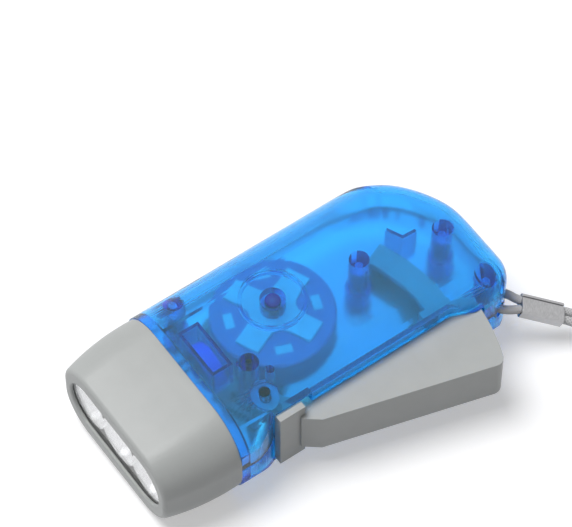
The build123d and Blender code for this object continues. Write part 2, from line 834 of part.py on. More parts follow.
def flywheel_pinion():
    """The small pinion on the flywheel's axle."""
    low = low_wheel_z - 0.2
    body = gear(
        flywheel_axis, train_module, flywheel_pinion_teeth, flywheel_pinion_phase,
        low, low + wheel_thickness + 0.6,
    )
    return body - rod(flywheel_axis, axle_radius, 0, casing_height)


def drive_pin():
    """Fixed pin of the drive pinion and the clutch wheel."""
    return rod(drive_axis, pin_radius, pin_low_z, pin_top_z)


def second_pin():
    """Fixed pin of the compound gear, from the floor to the gear plate."""
    return rod(second_axis, pin_radius, pin_low_z, gear_plate_z + gear_plate_thickness)


def gear_plate():
    """The plate above the gears that carries the stator and the compound gear's pin."""
    low = gear_plate_z
    high = gear_plate_z + gear_plate_thickness
    body = rod(flywheel_axis, gear_plate_radius, low, high) + rod(second_axis, pin_radius + 1.3, low, high)
    body = body - rod(second_axis, pin_radius, low - 1, high + 1)
    return body - rod(flywheel_axis, stator_bore, low - 1, high + 1)


# ---------------------------------------------------------------- dynamo
def flywheel():
    """Dark flywheel: a disc with a deep rim and four small windows."""
    body = rod(flywheel_axis, flywheel_radius, flywheel_bottom_z, flywheel_top_z)
    body = fillet(body.edges().sort_by(Axis.Z)[-1], 0.8)
    inside = flywheel_radius - flywheel_rim
    body = body - rod(flywheel_axis, inside, flywheel_bottom_z - 1, flywheel_top_z - flywheel_disc)
    body = body - rod(flywheel_axis, hub_seat_radius, flywheel_top_z - 3, flywheel_top_z + 1)
    for turn in range(4):
        body = body - hub_lug(turn, flywheel_top_z - flywheel_disc - 1, flywheel_top_z + 1)
    return body


def hub_lug(turn, low, high):
    """One of the four small blocks of the hub that fill the flywheel's windows."""
    deep, broad = hub_window
    shape = Box(deep, broad, high - low, align=(Align.CENTER, Align.CENTER, Align.MIN))
    heading = hub_arm_angle + 45 + 90 * turn
    place = polar(flywheel_axis, hub_window_radius, heading)
    return Pos(place[0], place[1], low) * Rot(0, 0, heading) * shape


def flywheel_hub():
    """Pale hub: a four-armed spider on the flywheel's face, with a boss on the axle."""
    top = flywheel_top_z + hub_thickness
    under = flywheel_top_z - flywheel_disc
    spider = rod(flywheel_axis, hub_round, flywheel_top_z, top)
    for turn in range(4):
        heading = hub_arm_angle + 90 * turn
        scoop = polar(flywheel_axis, hub_round + 1.6, heading + 45)
        spider = spider - rod(scoop, 3.4, flywheel_top_z - 1, top + 1)
    for turn in range(4):
        heading = hub_arm_angle + 90 * turn
        arm = Box(hub_arm_reach, hub_arm_width, hub_thickness, align=(Align.MIN, Align.CENTER, Align.MIN))
        arm = Pos(flywheel_axis[0], flywheel_axis[1], flywheel_top_z) * Rot(0, 0, heading) * arm
        spider = spider + arm
        lug = hub_lug(turn, under, flywheel_top_z)
        spider = spider + lug
    body = spider + rod(flywheel_axis, hub_seat_radius, under - hub_backing, flywheel_top_z)
    body = body + rod(flywheel_axis, hub_backing_radius, under - hub_backing, under)
    body = body + rod(flywheel_axis, 3.0, under, upper_bush_z - gear_gap)
    return body - rod(flywheel_axis, axle_radius, 0, casing_height)


def magnet_ring():
    """Ring magnet inside the flywheel's rim."""
    outer = flywheel_radius - flywheel_rim
    high = flywheel_top_z - flywheel_disc
    body = rod(flywheel_axis, outer, flywheel_bottom_z + 0.3, high)
    return body - rod(flywheel_axis, outer - magnet_thickness, flywheel_bottom_z - 1, high + 1)


def flywheel_axle():
    """Steel axle of the flywheel, running in two bushes."""
    return rod(flywheel_axis, axle_radius, lower_bush_z + 0.1, axle_top_z)


def bush(low):
    """A plain bearing bush on the flywheel's axis."""
    body = rod(flywheel_axis, bush_radius, low, low + bush_length)
    return body - rod(flywheel_axis, axle_radius + 0.04, low - 1, low + bush_length + 1)


def claw_cup(low_side):
    """One claw-pole cup of the stator: a plate, half of the sleeve and its ring of claws."""
    bottom = gear_plate_z + gear_plate_thickness
    top = stator_top_z
    middle = (bottom + top) / 2
    if low_side:
        plate = rod(flywheel_axis, stator_radius, bottom, bottom + claw_plate)
        sleeve = rod(flywheel_axis, bobbin_radius - 0.1, bottom, middle)
        claw_low, claw_high, shift = bottom, top - claw_plate - 0.8, 0
    else:
        plate = rod(flywheel_axis, stator_radius, top - claw_plate, top)
        sleeve = rod(flywheel_axis, bobbin_radius - 0.1, middle, top)
        claw_low, claw_high, shift = bottom + claw_plate + 0.8, top, 180 / claw_count
    ring = rod(flywheel_axis, stator_radius, claw_low, claw_high)
    ring = ring - rod(flywheel_axis, stator_radius - claw_plate, claw_low - 1, claw_high + 1)
    body = plate + sleeve
    for claw in range(claw_count):
        turn = shift + 360 * claw / claw_count
        wedge = prism(
            [flywheel_axis, polar(flywheel_axis, 20, turn - 11), polar(flywheel_axis, 20, turn + 11)],
            claw_low, claw_high,
        )
        body = body + (ring & wedge)
    return body - rod(flywheel_axis, stator_bore, 0, casing_height)


def coil_bobbin():
    """Plastic spool inside the claws."""
    low = gear_plate_z + gear_plate_thickness + claw_plate
    high = stator_top_z - claw_plate
    flange = stator_radius - claw_plate - 0.2
    body = rod(flywheel_axis, flange, low, high)
    core = rod(flywheel_axis, bobbin_radius + bobbin_wall, low, high)
    body = body - (rod(flywheel_axis, flange + spare, low + bobbin_wall, high - bobbin_wall) - core)
    return body - rod(flywheel_axis, bobbin_radius, low - 1, high + 1)


def coil_winding():
    """Copper winding on the spool, inside the claws."""
    low = gear_plate_z + gear_plate_thickness + claw_plate + bobbin_wall
    high = stator_top_z - claw_plate - bobbin_wall
    body = rod(flywheel_axis, stator_radius - claw_plate - 0.8, low, high)
    return body - rod(flywheel_axis, bobbin_radius + bobbin_wall, low - 1, high + 1)


# ---------------------------------------------------------------- fasteners and spring
def shell_screws():
    """The four screws that hold the halves together."""
    group = []
    for at in screw_posts:
        head = rod(at, screw_head_radius, screw_head_z - screw_head_height, screw_head_z)
        head = fillet(head.edges().sort_by(Axis.Z)[0], 0.6)
        cross = block(
            (at[0] - 1.5, at[1] - 0.25, screw_head_z - screw_head_height),
            (at[0] + 1.5, at[1] + 0.25, screw_head_z - screw_head_height + 0.8),
        )
        cross = cross + Pos(at[0], at[1], 0) * Rot(0, 0, 90) * Pos(-at[0], -at[1], 0) * cross
        group.append(head - cross + rod(at, screw_radius, screw_head_z, screw_head_z + screw_length))
    return Compound(children=group)


def biarc(start, start_way, end, end_way):
    """Two tangent arcs in space from one point and heading to another."""
    span = end - start
    both = start_way + end_way
    square = 2 * (1 - start_way.dot(end_way))
    across = span.dot(both)
    reach = span.dot(span) / (2 * across)
    if square > 1e-9:
        root = math.sqrt(across ** 2 + square * span.dot(span))
        reach = (root - across) / square
    join = (start + start_way * reach + end - end_way * reach) * 0.5
    first = TangentArc(start, join, tangent=start_way)
    second = TangentArc(join, end, tangent=first.tangent_at(1))
    return [first, second]


def return_spring():
    """Torsion spring in the barrel's bay: the lower leg bears on the post, the upper on the lever."""
    half_turns = int(2 * spring_turns)
    steps = 2 * half_turns
    places = []
    ways = []
    slope = spring_pitch / (2 * math.pi * spring_radius)
    for step in range(steps + 1):
        turn = math.radians(spring_start_turn + 90 * step)
        rise = spring_bottom_z + spring_pitch * step / 4
        flat = polar(pivot, spring_radius, spring_start_turn + 90 * step)
        places.append(Vector(*flat, rise))
        ways.append(Vector(-math.sin(turn), math.cos(turn), slope).normalized())
    path = [Line(places[0] - ways[0] * spring_leg, places[0])]
    for step in range(steps):
        path += biarc(places[step], ways[step], places[step + 1], ways[step + 1])
    path.append(Line(places[-1], places[-1] + ways[-1] * spring_leg))
    wire = Wire(path)
    print("return spring: least gap to itself", round(least_gap(wire, 8 * spring_wire) - spring_wire, 2))
    section = Plane(origin=wire.position_at(0), z_dir=wire.tangent_at(0)) * Circle(spring_wire / 2)
    return sweep(section, path=wire)


# ---------------------------------------------------------------- wires and wrist cord
def bend_radii(points):
    """The radius of each bend of a route: 0.45 of its shorter run over the tangent of half its turn."""
    radii = []
    for before, here, after in zip(points, points[1:], points[2:]):
        run_in = Vector(*here) - Vector(*before)
        run_out = Vector(*after) - Vector(*here)
        half = math.radians(run_in.get_angle(run_out)) / 2
        radii.append(0.45 * min(run_in.length, run_out.length) / math.tan(half))
    return radii


def tube(name, points, radius):
    """A round tube along straight runs joined by tangent arcs."""
    radii = bend_radii(points)
    path = FilletPolyline(*points, radius=radii)
    solid = sweep(Plane(origin=path @ 0, z_dir=path % 0) * Circle(radius), path=path)
    share = solid.volume / (math.pi * radius ** 2 * path.length)
    print(name, "bend radii", [round(bend, 1) for bend in radii])
    print(name, "length", round(path.length, 1), "volume over section times length", round(share, 3))
    return solid


def coil_wire(number):
    """One wire from the stator to the lamp board."""
    start_z = gear_plate_z + gear_plate_thickness + claw_plate / 2
    exit_place = polar(flywheel_axis, stator_radius + wire_gap, coil_wire_exits[number])
    first = polar(flywheel_axis, stator_radius + 5.0, coil_wire_exits[number])
    route = coil_wire_routes[number]
    board_back = seam_y - board_seat_depth + board_thickness
    points = [(*exit_place, start_z), (*first, start_z - 0.9)] + route
    points.append((route[-1][0], board_back, route[-1][2]))
    return tube("coil wire", points, wire_radius)


def cell_leads():
    """The storage cell's two leads to the lamp board."""
    x, y = cell_frame_centre
    start_y = y - cell_thickness / 2
    board_back = seam_y - board_seat_depth + board_thickness
    group = []
    for side in (-1, 1):
        lead_x = x + side * cell_lead_pitch / 2
        points = [
            (lead_x, start_y, cell_centre_z),
            (lead_x, start_y - 3.5, cell_centre_z),
            (lead_x, board_back + 3.5, cell_centre_z - cell_lead_drop),
            (lead_x, board_back, cell_centre_z - cell_lead_drop),
        ]
        group.append(tube("cell lead", points, cell_lead_radius))
    return Compound(children=group)


def cord_line(along, aside, height=None):
    """A point of the wrist cord's lie: along the crimp's heading, aside from it, level if asked."""
    bar = Vector(*cord_bar, cord_bar_z)
    if height is None:
        return bar + cord_way * along + cord_side * aside
    flat = Vector(cord_way.X, cord_way.Y).normalized()
    place = bar + flat * along + cord_side * aside
    return Vector(place.X, place.Y, height)


def lanyard_loop():
    """The short end of the cord, looped round the tail's bar with both ends in the crimp."""
    bend = cord_bar_radius + cord_slack + cord_diameter / 2
    turn = math.radians(loop_meet_angle)
    aside = bend * math.sin(turn)
    along = bend * math.cos(turn)
    left = cord_line(crimp_start, cord_pitch / 2)
    right = cord_line(crimp_start, -cord_pitch / 2)
    left_meet = cord_line(along, aside)
    right_meet = cord_line(along, -aside)
    left_way = cord_side * math.cos(turn) - cord_way * math.sin(turn)
    right_way = cord_side * math.cos(turn) + cord_way * math.sin(turn)
    path = biarc(left, cord_way * -1, left_meet, left_way)
    path.append(ThreePointArc(left_meet, cord_line(-bend, 0), right_meet))
    path += biarc(right_meet, right_way, right, cord_way)
    wire = Wire(path)
    print("lanyard loop: bend", bend, "length", round(wire.length, 1))
    section = Plane(origin=wire.position_at(0), z_dir=wire.tangent_at(0)) * Circle(cord_diameter / 2)
    return sweep(section, path=wire)


def lanyard_crimp():
    """The folded metal sleeve that clamps the two strands, with its slit."""
    half_width = cord_pitch / 2 + cord_diameter / 2 + crimp_wall
    half_height = cord_diameter / 2 + crimp_wall
    facing = Plane(origin=cord_line(crimp_start, 0), x_dir=cord_side, z_dir=cord_way)
    sleeve = extrude(facing * RectangleRounded(2 * half_width, 2 * half_height, 0.9), crimp_length)
    slit = Box(crimp_slit, 2 * crimp_wall, crimp_length + 2, align=(Align.CENTER, Align.CENTER, Align.MIN))
    up = 1 if facing.y_dir.Z > 0 else -1
    slit = facing * Pos(half_width - 1.3, up * half_height, -1) * slit
    return sleeve - slit


def coil_place(turn):
    """Centre line of the put-away coil: it spirals in on the floor, climbs and spirals out."""
    middle = coil_turns / 2
    radius = coil_outer_radius - coil_spacing * (middle - abs(turn - middle))
    climb = min(max((turn - middle) * 2 + 0.5, 0.0), 1.0)
    lift = climb * climb * (3 - 2 * climb)
    heading = coil_entry_turn - 2 * math.pi * turn
    centre = cord_line(crimp_start + crimp_length + coil_centre_reach, 0, 0)
    return Vector(
        centre.X + radius * math.cos(heading),
        centre.Y + radius * math.sin(heading),
        coil_floor_z + coil_spacing * lift,
    )


def coil_way(turn):
    """Heading of the coil's centre line."""
    step = 0.001
    low = max(turn - step, 0)
    high = min(turn + step, coil_turns)
    return (coil_place(high) - coil_place(low)).normalized()


def least_gap(wire, apart):
    """The least distance between points of a wire that lie further apart along it than stated."""
    steps = 240
    places = [wire.position_at(step / steps) for step in range(steps + 1)]
    skip = math.ceil(apart / wire.length * steps)
    distances = []
    for first in range(len(places)):
        for second in range(first + skip, len(places)):
            distances.append((places[first] - places[second]).length)
    return min(distances)


def lanyard_coil():
    """The unseen length of the wrist cord, put away as a small coil of one unbroken tube."""
    quarters = round(coil_turns * 4)
    stations = [coil_turns * step / quarters for step in range(quarters + 1)]
    start = coil_place(0)
    end = coil_place(coil_turns)
    path = [Line(start - coil_way(0) * cord_diameter, start)]
    for first, last in zip(stations, stations[1:]):
        path += biarc(coil_place(first), coil_way(first), coil_place(last), coil_way(last))
    path.append(Line(end, end + coil_way(coil_turns) * cord_diameter))
    wire = Wire(path)
    print("coil: turns", round(coil_turns, 2), "length", round(wire.length, 1))
    print("coil: least gap to itself", round(least_gap(wire, 6 * cord_diameter) - cord_diameter, 2))
    section = Plane(origin=wire.position_at(0), z_dir=wire.tangent_at(0)) * Circle(cord_diameter / 2)
    return sweep(section, path=wire)


def strand_points(side):
    """Route of a strand between the crimp and the coil: the way out for +1, the way back for -1."""
    end = crimp_start + crimp_length
    start = cord_line(end, side * cord_pitch / 2)
    turn = 0 if side > 0 else coil_turns
    way = coil_way(turn) * side
    meet = coil_place(turn) - way * cord_diameter
    level = meet - way * strand_level_run
    if side > 0:
        level = Vector(level.X, level.Y, coil_floor_z)
    return [start, start + cord_way * strand_first_run, level, meet]


def lanyard_strand(side):
    """A strand of the wrist cord between the crimp and the coil."""
    points = [(place.X, place.Y, place.Z) for place in strand_points(side)]
    return tube("lanyard strand", points, cord_diameter / 2)


def lanyard_tie():
    """The band that holds the put-away coil together, on its far side."""
    inner = coil_outer_radius - coil_spacing * coil_turns / 2 - cord_diameter / 2 - tie_gap
    outer = coil_outer_radius + cord_diameter / 2 + tie_gap
    low = coil_floor_z - cord_diameter / 2 - tie_gap
    high = coil_floor_z + coil_spacing + cord_diameter / 2 + tie_gap
    middle = (inner + outer) / 2
    centre = cord_line(crimp_start + crimp_length + coil_centre_reach, 0, 0)
    flat = Vector(cord_way.X, cord_way.Y).normalized()
    facing = Plane(
        origin=(centre.X + flat.X * middle, centre.Y + flat.Y * middle, (low + high) / 2),
        x_dir=flat,
        z_dir=cord_side,
    )
    hole = facing * Rectangle(outer - inner, high - low)
    band = facing * RectangleRounded(
        outer - inner + 2 * tie_thickness, high - low + 2 * tie_thickness, tie_thickness
    )
    return Pos(*(cord_side * (-tie_width / 2))) * extrude(band - hole, tie_width)


# ---------------------------------------------------------------- places that several pieces share
sector_pitch_radius = sector_module * sector_teeth / 2
drive_distance = sector_module * (sector_teeth - drive_pinion_teeth) / 2
drive_axis = polar(pivot, drive_distance, drive_direction)
first_reach = train_module * (first_wheel_teeth + second_pinion_teeth) / 2
second_reach = train_module * (second_wheel_teeth + flywheel_pinion_teeth) / 2


def place_second_axis():
    """The compound gear's axis, at both mesh distances, on the side away from the lever."""
    run = Vector(flywheel_axis[0] - drive_axis[0], flywheel_axis[1] - drive_axis[1])
    along = (first_reach ** 2 - second_reach ** 2 + run.length ** 2) / (2 * run.length)
    aside = math.sqrt(first_reach ** 2 - along ** 2)
    way = run.normalized()
    return (drive_axis[0] + way.X * along - way.Y * aside, drive_axis[1] + way.Y * along + way.X * aside)


second_axis = place_second_axis()
train_heading = math.degrees(math.atan2(second_axis[1] - drive_axis[1], second_axis[0] - drive_axis[0]))
second_pinion_phase = train_heading + 180 + 180 / second_pinion_teeth
flywheel_heading = math.degrees(
    math.atan2(flywheel_axis[1] - second_axis[1], flywheel_axis[0] - second_axis[0])
)
second_wheel_phase = flywheel_heading
flywheel_pinion_phase = flywheel_heading + 180 + 180 / flywheel_pinion_teeth

drive_top_z = sector_bottom_z + sector_thickness + 0.5
clutch_floor_z = high_wheel_z + 0.8
clutch_top_z = sector_bottom_z - 0.9
upper_bush_z = 23.3
lower_bush_z = 0.9
axle_top_z = upper_bush_z + bush_length + 0.6
pin_low_z = 0.9
pin_top_z = ceiling_z + 0.6
stator_radius = flywheel_radius - flywheel_rim - magnet_thickness - air_gap
stator_top_z = flywheel_top_z - flywheel_disc - 0.9
hub_seat_radius = 5.0
reflector_front_y = seam_y - head_length + head_rim + lens_thickness
lamp_places = [-cup_pitch, 0.0, cup_pitch]
spring_start_turn = 180.0
spring_post = (
    pivot[0] - spring_radius - spring_wire / 2 - 0.05 - spring_post_radius,
    pivot[1] + spring_leg - 1.0,
)

cord_way = Vector(*crimp_heading).normalized()
cord_side = Vector(-cord_way.Y, cord_way.X, 0).normalized()
coil_lean = math.asin(coil_outer_radius / coil_centre_reach)
coil_turns = coil_whole_turns + 0.5 + coil_lean / math.pi
coil_entry_turn = math.atan2(cord_way.Y, cord_way.X) + math.pi / 2 + coil_lean


def write(name, solid):
    """Write one node's solids."""
    export_step(solid, os.path.join("parts", name + ".step"))


def main():
    os.makedirs("parts", exist_ok=True)
    write("upper_shell", upper_shell())
    write("lower_shell", lower_shell())
    write("head_bezel", head_bezel())
    write("front_lens", front_lens())
    write("reflector", reflector())
    for count, place in enumerate(lamp_places, start=1):
        write("lamp_" + str(count), lamp(place))
    write("lamp_board", lamp_board())
    write("rectifier", rectifier())
    write("storage_cell", storage_cell())
    write("lever", lever())
    write("lever_pivot_pin", pivot_pin())
    write("return_spring", return_spring())
    write("drive_pinion", drive_pinion())
    write("drive_pin", drive_pin())
    write("clutch_wheel", first_wheel())
    write("compound_gear", second_gear())
    write("compound_gear_pin", second_pin())
    write("gear_plate", gear_plate())
    write("flywheel", flywheel())
    write("flywheel_hub", flywheel_hub())
    write("magnet_ring", magnet_ring())
    write("flywheel_axle", flywheel_axle())
    write("flywheel_pinion", flywheel_pinion())
    write("upper_bush", bush(upper_bush_z))
    write("lower_bush", bush(lower_bush_z))
    write("stator_lower", claw_cup(True))
    write("stator_upper", claw_cup(False))
    write("coil_bobbin", coil_bobbin())
    write("coil_winding", coil_winding())
    write("shell_screws", shell_screws())
    write("coil_wire_red", coil_wire(0))
    write("coil_wire_black", coil_wire(1))
    write("cell_leads", cell_leads())
    write("lanyard_loop", lanyard_loop())
    write("lanyard_crimp", lanyard_crimp())
    write("lanyard_strand_out", lanyard_strand(1))
    write("lanyard_coil", lanyard_coil())
    write("lanyard_strand_back", lanyard_strand(-1))
    write("lanyard_tie", lanyard_tie())


main()
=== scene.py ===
"""Dresses the hand-press dynamo torch: its finishes, its fine pieces, its wrist cord and a plain studio."""

import math
from contextlib import contextmanager

import bmesh
import bpy
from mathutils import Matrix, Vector


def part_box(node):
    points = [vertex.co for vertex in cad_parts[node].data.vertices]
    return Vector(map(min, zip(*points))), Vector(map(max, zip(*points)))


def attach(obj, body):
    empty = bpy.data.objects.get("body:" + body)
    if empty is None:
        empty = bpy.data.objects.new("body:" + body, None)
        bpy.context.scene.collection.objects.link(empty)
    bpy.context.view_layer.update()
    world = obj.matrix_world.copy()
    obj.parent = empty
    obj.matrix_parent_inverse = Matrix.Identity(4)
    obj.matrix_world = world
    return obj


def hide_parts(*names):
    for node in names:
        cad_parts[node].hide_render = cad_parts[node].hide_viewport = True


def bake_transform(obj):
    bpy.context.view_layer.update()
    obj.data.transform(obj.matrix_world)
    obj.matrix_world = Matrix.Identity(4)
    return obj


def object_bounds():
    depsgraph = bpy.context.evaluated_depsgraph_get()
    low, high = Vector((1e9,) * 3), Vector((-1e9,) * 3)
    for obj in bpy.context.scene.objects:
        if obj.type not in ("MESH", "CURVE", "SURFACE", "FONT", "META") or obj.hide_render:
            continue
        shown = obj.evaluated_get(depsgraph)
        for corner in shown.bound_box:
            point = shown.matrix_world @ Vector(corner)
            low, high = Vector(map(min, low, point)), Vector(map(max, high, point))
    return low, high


bl_info = {
    "name": "Hand Press Torch",
    "version": (1, 0, 0),
    "blender": (4, 5, 0),
    "location": "View3D > Sidebar > Torch",
    "description": "Finishes and fine pieces of a hand-press dynamo torch",
    "category": "Object",
}

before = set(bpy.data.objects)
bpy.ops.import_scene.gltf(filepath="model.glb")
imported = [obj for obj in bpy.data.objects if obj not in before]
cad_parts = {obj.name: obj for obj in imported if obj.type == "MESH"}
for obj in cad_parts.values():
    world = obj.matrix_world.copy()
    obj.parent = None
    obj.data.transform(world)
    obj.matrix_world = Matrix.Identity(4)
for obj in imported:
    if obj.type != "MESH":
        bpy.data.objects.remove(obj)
CAD_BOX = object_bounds()
MM = 0.001
MID_Z = (CAD_BOX[0][2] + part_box("upper_shell")[1].z) / 2

# A CAD node's loose triangles are joined within this reach, and those within this angle are one face.
JOIN_REACH = 0.004 * MM
FLAT_ANGLE = math.radians(0.8)

# The casing's walls face away from this point outside, and towards it inside.
CASING_HEART = (0.0, 0.012, MID_Z)
CASING_CLEARNESS = 0.94
CASING_IOR = 1.42
CASING_SPECULAR = 0.3

# A reflector cup's rings: each ring's share of the mouth's radius, and its depth in millimetres.
CUP_RINGS = ((1.0, 0.0), (0.935, 1.7), (0.82, 3.4), (0.66, 5.1), (0.44, 6.9))
CUP_PROUD = 0.02 * MM
CUP_WALL = 0.08 * MM

# The two posts and the chip inside a lamp, from the lamp's tip.
POST_SIZE = (0.6 * MM, 2.4 * MM, 0.5 * MM)
POST_ASIDE = 0.75 * MM
POST_MIDDLE = 4.2 * MM
POST_HEAD = 0.5 * MM
CHIP_RADIUS = 0.62 * MM
CHIP_MIDDLE = 2.1 * MM

# The domed cap over the flywheel's bearing: a skirt above the bush, then a dome in these turns.
CAP_CLEARANCE = 0.06 * MM
CAP_SKIRT = 0.5 * MM
CAP_LIFT = 1.0 * MM
CAP_DOME = 1.0 * MM
CAP_TURNS = (20, 40, 60, 78)
CAP_STEP = 20

CAMERA_WAY = Vector((0.444, -0.315, 0.838)).normalized()
FLOOR_SIZE = 6.0
FLOOR_DROP = 0.05 * MM
FLOOR_GLOW = 0.40
FLOOR_GLOW_THROUGH = 0.4
OVERHEAD_PLACE = (-0.42, -0.30, 1.5)
OVERHEAD_SIZE = 0.9


# ---------------------------------------------------------------- what a user may change
class TorchColours(bpy.types.PropertyGroup):
    """Colours of the torch, as linear light."""

    casing: bpy.props.FloatVectorProperty(
        name="Casing depth", description="What the casing lets through, as it gets thicker", subtype="COLOR",
        size=3, min=0.0, max=1.0, default=(0.0, 0.80, 0.993),
    )
    casing_wall: bpy.props.FloatVectorProperty(
        name="Casing wall", description="Tint of light that passes the casing's walls", subtype="COLOR",
        size=3, min=0.0, max=1.0, default=(0.24, 0.76, 1.0),
    )
    grey: bpy.props.FloatVectorProperty(
        name="Grey plastic", description="Head and lever", subtype="COLOR",
        size=3, min=0.0, max=1.0, default=(0.42, 0.435, 0.43),
    )
    flywheel: bpy.props.FloatVectorProperty(
        name="Flywheel", description="Moulded disc of the flywheel", subtype="COLOR",
        size=3, min=0.0, max=1.0, default=(0.40, 0.24, 0.50),
    )
    hub: bpy.props.FloatVectorProperty(
        name="Hub and gears", description="Natural white plastic of the hub and gears", subtype="COLOR",
        size=3, min=0.0, max=1.0, default=(0.78, 0.8, 0.8),
    )
    cord: bpy.props.FloatVectorProperty(
        name="Cord", description="Braid of the wrist cord", subtype="COLOR",
        size=3, min=0.0, max=1.0, default=(0.62, 0.62, 0.63),
    )
    crimp: bpy.props.FloatVectorProperty(
        name="Crimp", description="Sheet metal of the crimp", subtype="COLOR",
        size=3, min=0.0, max=1.0, default=(0.44, 0.44, 0.45),
    )


class TorchSizes(bpy.types.PropertyGroup):
    """Sizes of the fine pieces."""

    cord_diameter: bpy.props.FloatProperty(
        name="Cord diameter", description="Thickness of the wrist cord", unit="LENGTH", default=0.0024,
    )
    cord_length: bpy.props.FloatProperty(
        name="Cord length", description="Real length of the wrist cord", unit="LENGTH", default=0.299,
    )
    cup_radius: bpy.props.FloatProperty(
        name="Cup radius", description="Mouth of one reflector cup", unit="LENGTH", default=0.00692,
    )
    cup_pitch: bpy.props.FloatProperty(
        name="Cup pitch", description="From one cup's middle to the next", unit="LENGTH", default=0.0132,
    )
    cup_facets: bpy.props.IntProperty(
        name="Cup facets", description="Facets round one reflector cup", default=14, min=6, max=32,
    )
    casing_density: bpy.props.FloatProperty(
        name="Casing density", description="How strongly the casing takes light, for each metre",
        default=500.0, min=0.0,
    )
    casing_skin: bpy.props.FloatProperty(
        name="Casing skin", description="Roughness of the casing's outer wall", subtype="FACTOR",
        default=0.15, min=0.0, max=1.0,
    )
    casing_frost: bpy.props.FloatProperty(
        name="Casing frost", description="Roughness of the casing's inner wall", subtype="FACTOR",
        default=0.46, min=0.0, max=1.0,
    )


class TorchStudio(bpy.types.PropertyGroup):
    """Camera and light."""

    focal_length: bpy.props.FloatProperty(
        name="Focal length", description="Lens of the camera", unit="CAMERA", default=217.0,
    )
    camera_distance: bpy.props.FloatProperty(
        name="Camera distance", description="From the camera to the point it looks at",
        unit="LENGTH", default=0.9,
    )
    look_at: bpy.props.FloatVectorProperty(
        name="Look at", description="Point the camera looks at", subtype="TRANSLATION",
        size=3, default=(-0.01919, 0.01195, 0.015),
    )
    floor: bpy.props.FloatVectorProperty(
        name="Floor", description="Colour of the floor", subtype="COLOR",
        size=3, min=0.0, max=1.0, default=(0.70, 0.70, 0.71),
    )
    key_power: bpy.props.FloatProperty(
        name="Overhead light", description="Power of the large overhead light", unit="POWER", default=22.8,
    )
    sky: bpy.props.FloatProperty(
        name="Room light", description="Brightness of the white room", default=0.18, min=0.0,
    )


# ---------------------------------------------------------------- hand tools
def only(piece):
    """Selects one piece and makes it the active one."""
    bpy.ops.object.select_all(action="DESELECT")
    piece.select_set(True)
    bpy.context.view_layer.objects.active = piece


@contextmanager
def edit(piece, mode="FACE"):
    """Edit mode on one piece, with nothing selected in it."""
    only(piece)
    bpy.ops.object.mode_set(mode="EDIT")
    bpy.ops.mesh.select_mode(type=mode)
    bpy.ops.mesh.select_all(action="DESELECT")
    yield
    bpy.ops.object.mode_set(mode="OBJECT")


def pick_faces(piece, wanted):
    """Selects the faces whose centre and normal are wanted, and lets the others go."""
    mesh = bmesh.from_edit_mesh(piece.data)
    bpy.ops.mesh.select_all(action="DESELECT")
    found = [face for face in mesh.faces if wanted(face.calc_center_median(), face.normal)]
    if not found:
        raise RuntimeError(f"{piece.name}: no face there")
    for face in found:
        face.select_set(True)
    bmesh.update_edit_mesh(piece.data)


def bevel(piece, width, segments=2, angle=30.0):
    """Rounds the piece's sharp edges."""
    only(piece)
    rounding = piece.modifiers.new("Rounding", "BEVEL")
    rounding.width = width
    rounding.segments = segments
    rounding.limit_method = "ANGLE"
    rounding.angle_limit = math.radians(angle)
    bpy.ops.object.modifier_apply(modifier=rounding.name)


def settle(piece):
    """Puts a new piece's place, turn and size into its mesh."""
    only(piece)
    bpy.ops.object.transform_apply(location=True, rotation=True, scale=True)


def put(piece, name, body, material, smooth=40.0):
    """Settles a piece: its name, its place in its mesh, its finish and the body it rides on."""
    settle(piece)
    piece.name = name
    piece.data.name = name
    piece.data.materials.clear()
    piece.data.materials.append(material)
    if smooth:
        bpy.ops.object.shade_smooth_by_angle(angle=math.radians(smooth))
        even = piece.modifiers.new("Even", "WEIGHTED_NORMAL")
        even.keep_sharp = True
        even.weight = 90
        bpy.ops.object.modifier_apply(modifier=even.name)
    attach(piece, body)
    return piece


def merged_copy(node):
    """A copy of a CAD node's mesh, with its loose triangles joined, that stands for the node."""
    piece = bpy.data.objects.new(node + "_dressed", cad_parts[node].data.copy())
    bpy.context.scene.collection.objects.link(piece)
    with edit(piece, "VERT"):
        bpy.ops.mesh.select_all(action="SELECT")
        bpy.ops.mesh.remove_doubles(threshold=JOIN_REACH)
        bpy.ops.mesh.dissolve_degenerate(threshold=JOIN_REACH)
        bpy.ops.mesh.dissolve_limited(angle_limit=FLAT_ANGLE)
    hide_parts(node)
    return piece


def finish_node(node, material):
    """Gives a CAD node that keeps its shape its finish."""
    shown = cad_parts[node]
    if not shown.material_slots:
        shown.data.materials.append(material)
    for each in shown.material_slots:
        each.material = material


# ---------------------------------------------------------------- finishes
def new_material(name):
    """An empty node material: the material, its nodes, its links and its Principled shader."""
    material = bpy.data.materials.new(name)
    material.use_nodes = True
    nodes = material.node_tree.nodes
    return material, nodes, material.node_tree.links, nodes["Principled BSDF"]


def noise(nodes, links, scale, detail=4.0, roughness=0.6):
    """Noise on the object's own coordinates, with its scale in cells for each metre."""
    place = nodes.new("ShaderNodeTexCoord")
    texture = nodes.new("ShaderNodeTexNoise")
    texture.inputs["Scale"].default_value = scale
    texture.inputs["Detail"].default_value = detail
    texture.inputs["Roughness"].default_value = roughness
    links.new(place.outputs["Object"], texture.inputs["Vector"])
    return texture.outputs["Fac"]


def spread(nodes, links, value, low, high):
    """Maps a 0 to 1 value to the range from low to high."""
    mapped = nodes.new("ShaderNodeMapRange")
    mapped.inputs["To Min"].default_value = low
    mapped.inputs["To Max"].default_value = high
    links.new(value, mapped.inputs["Value"])
    return mapped.outputs["Result"]


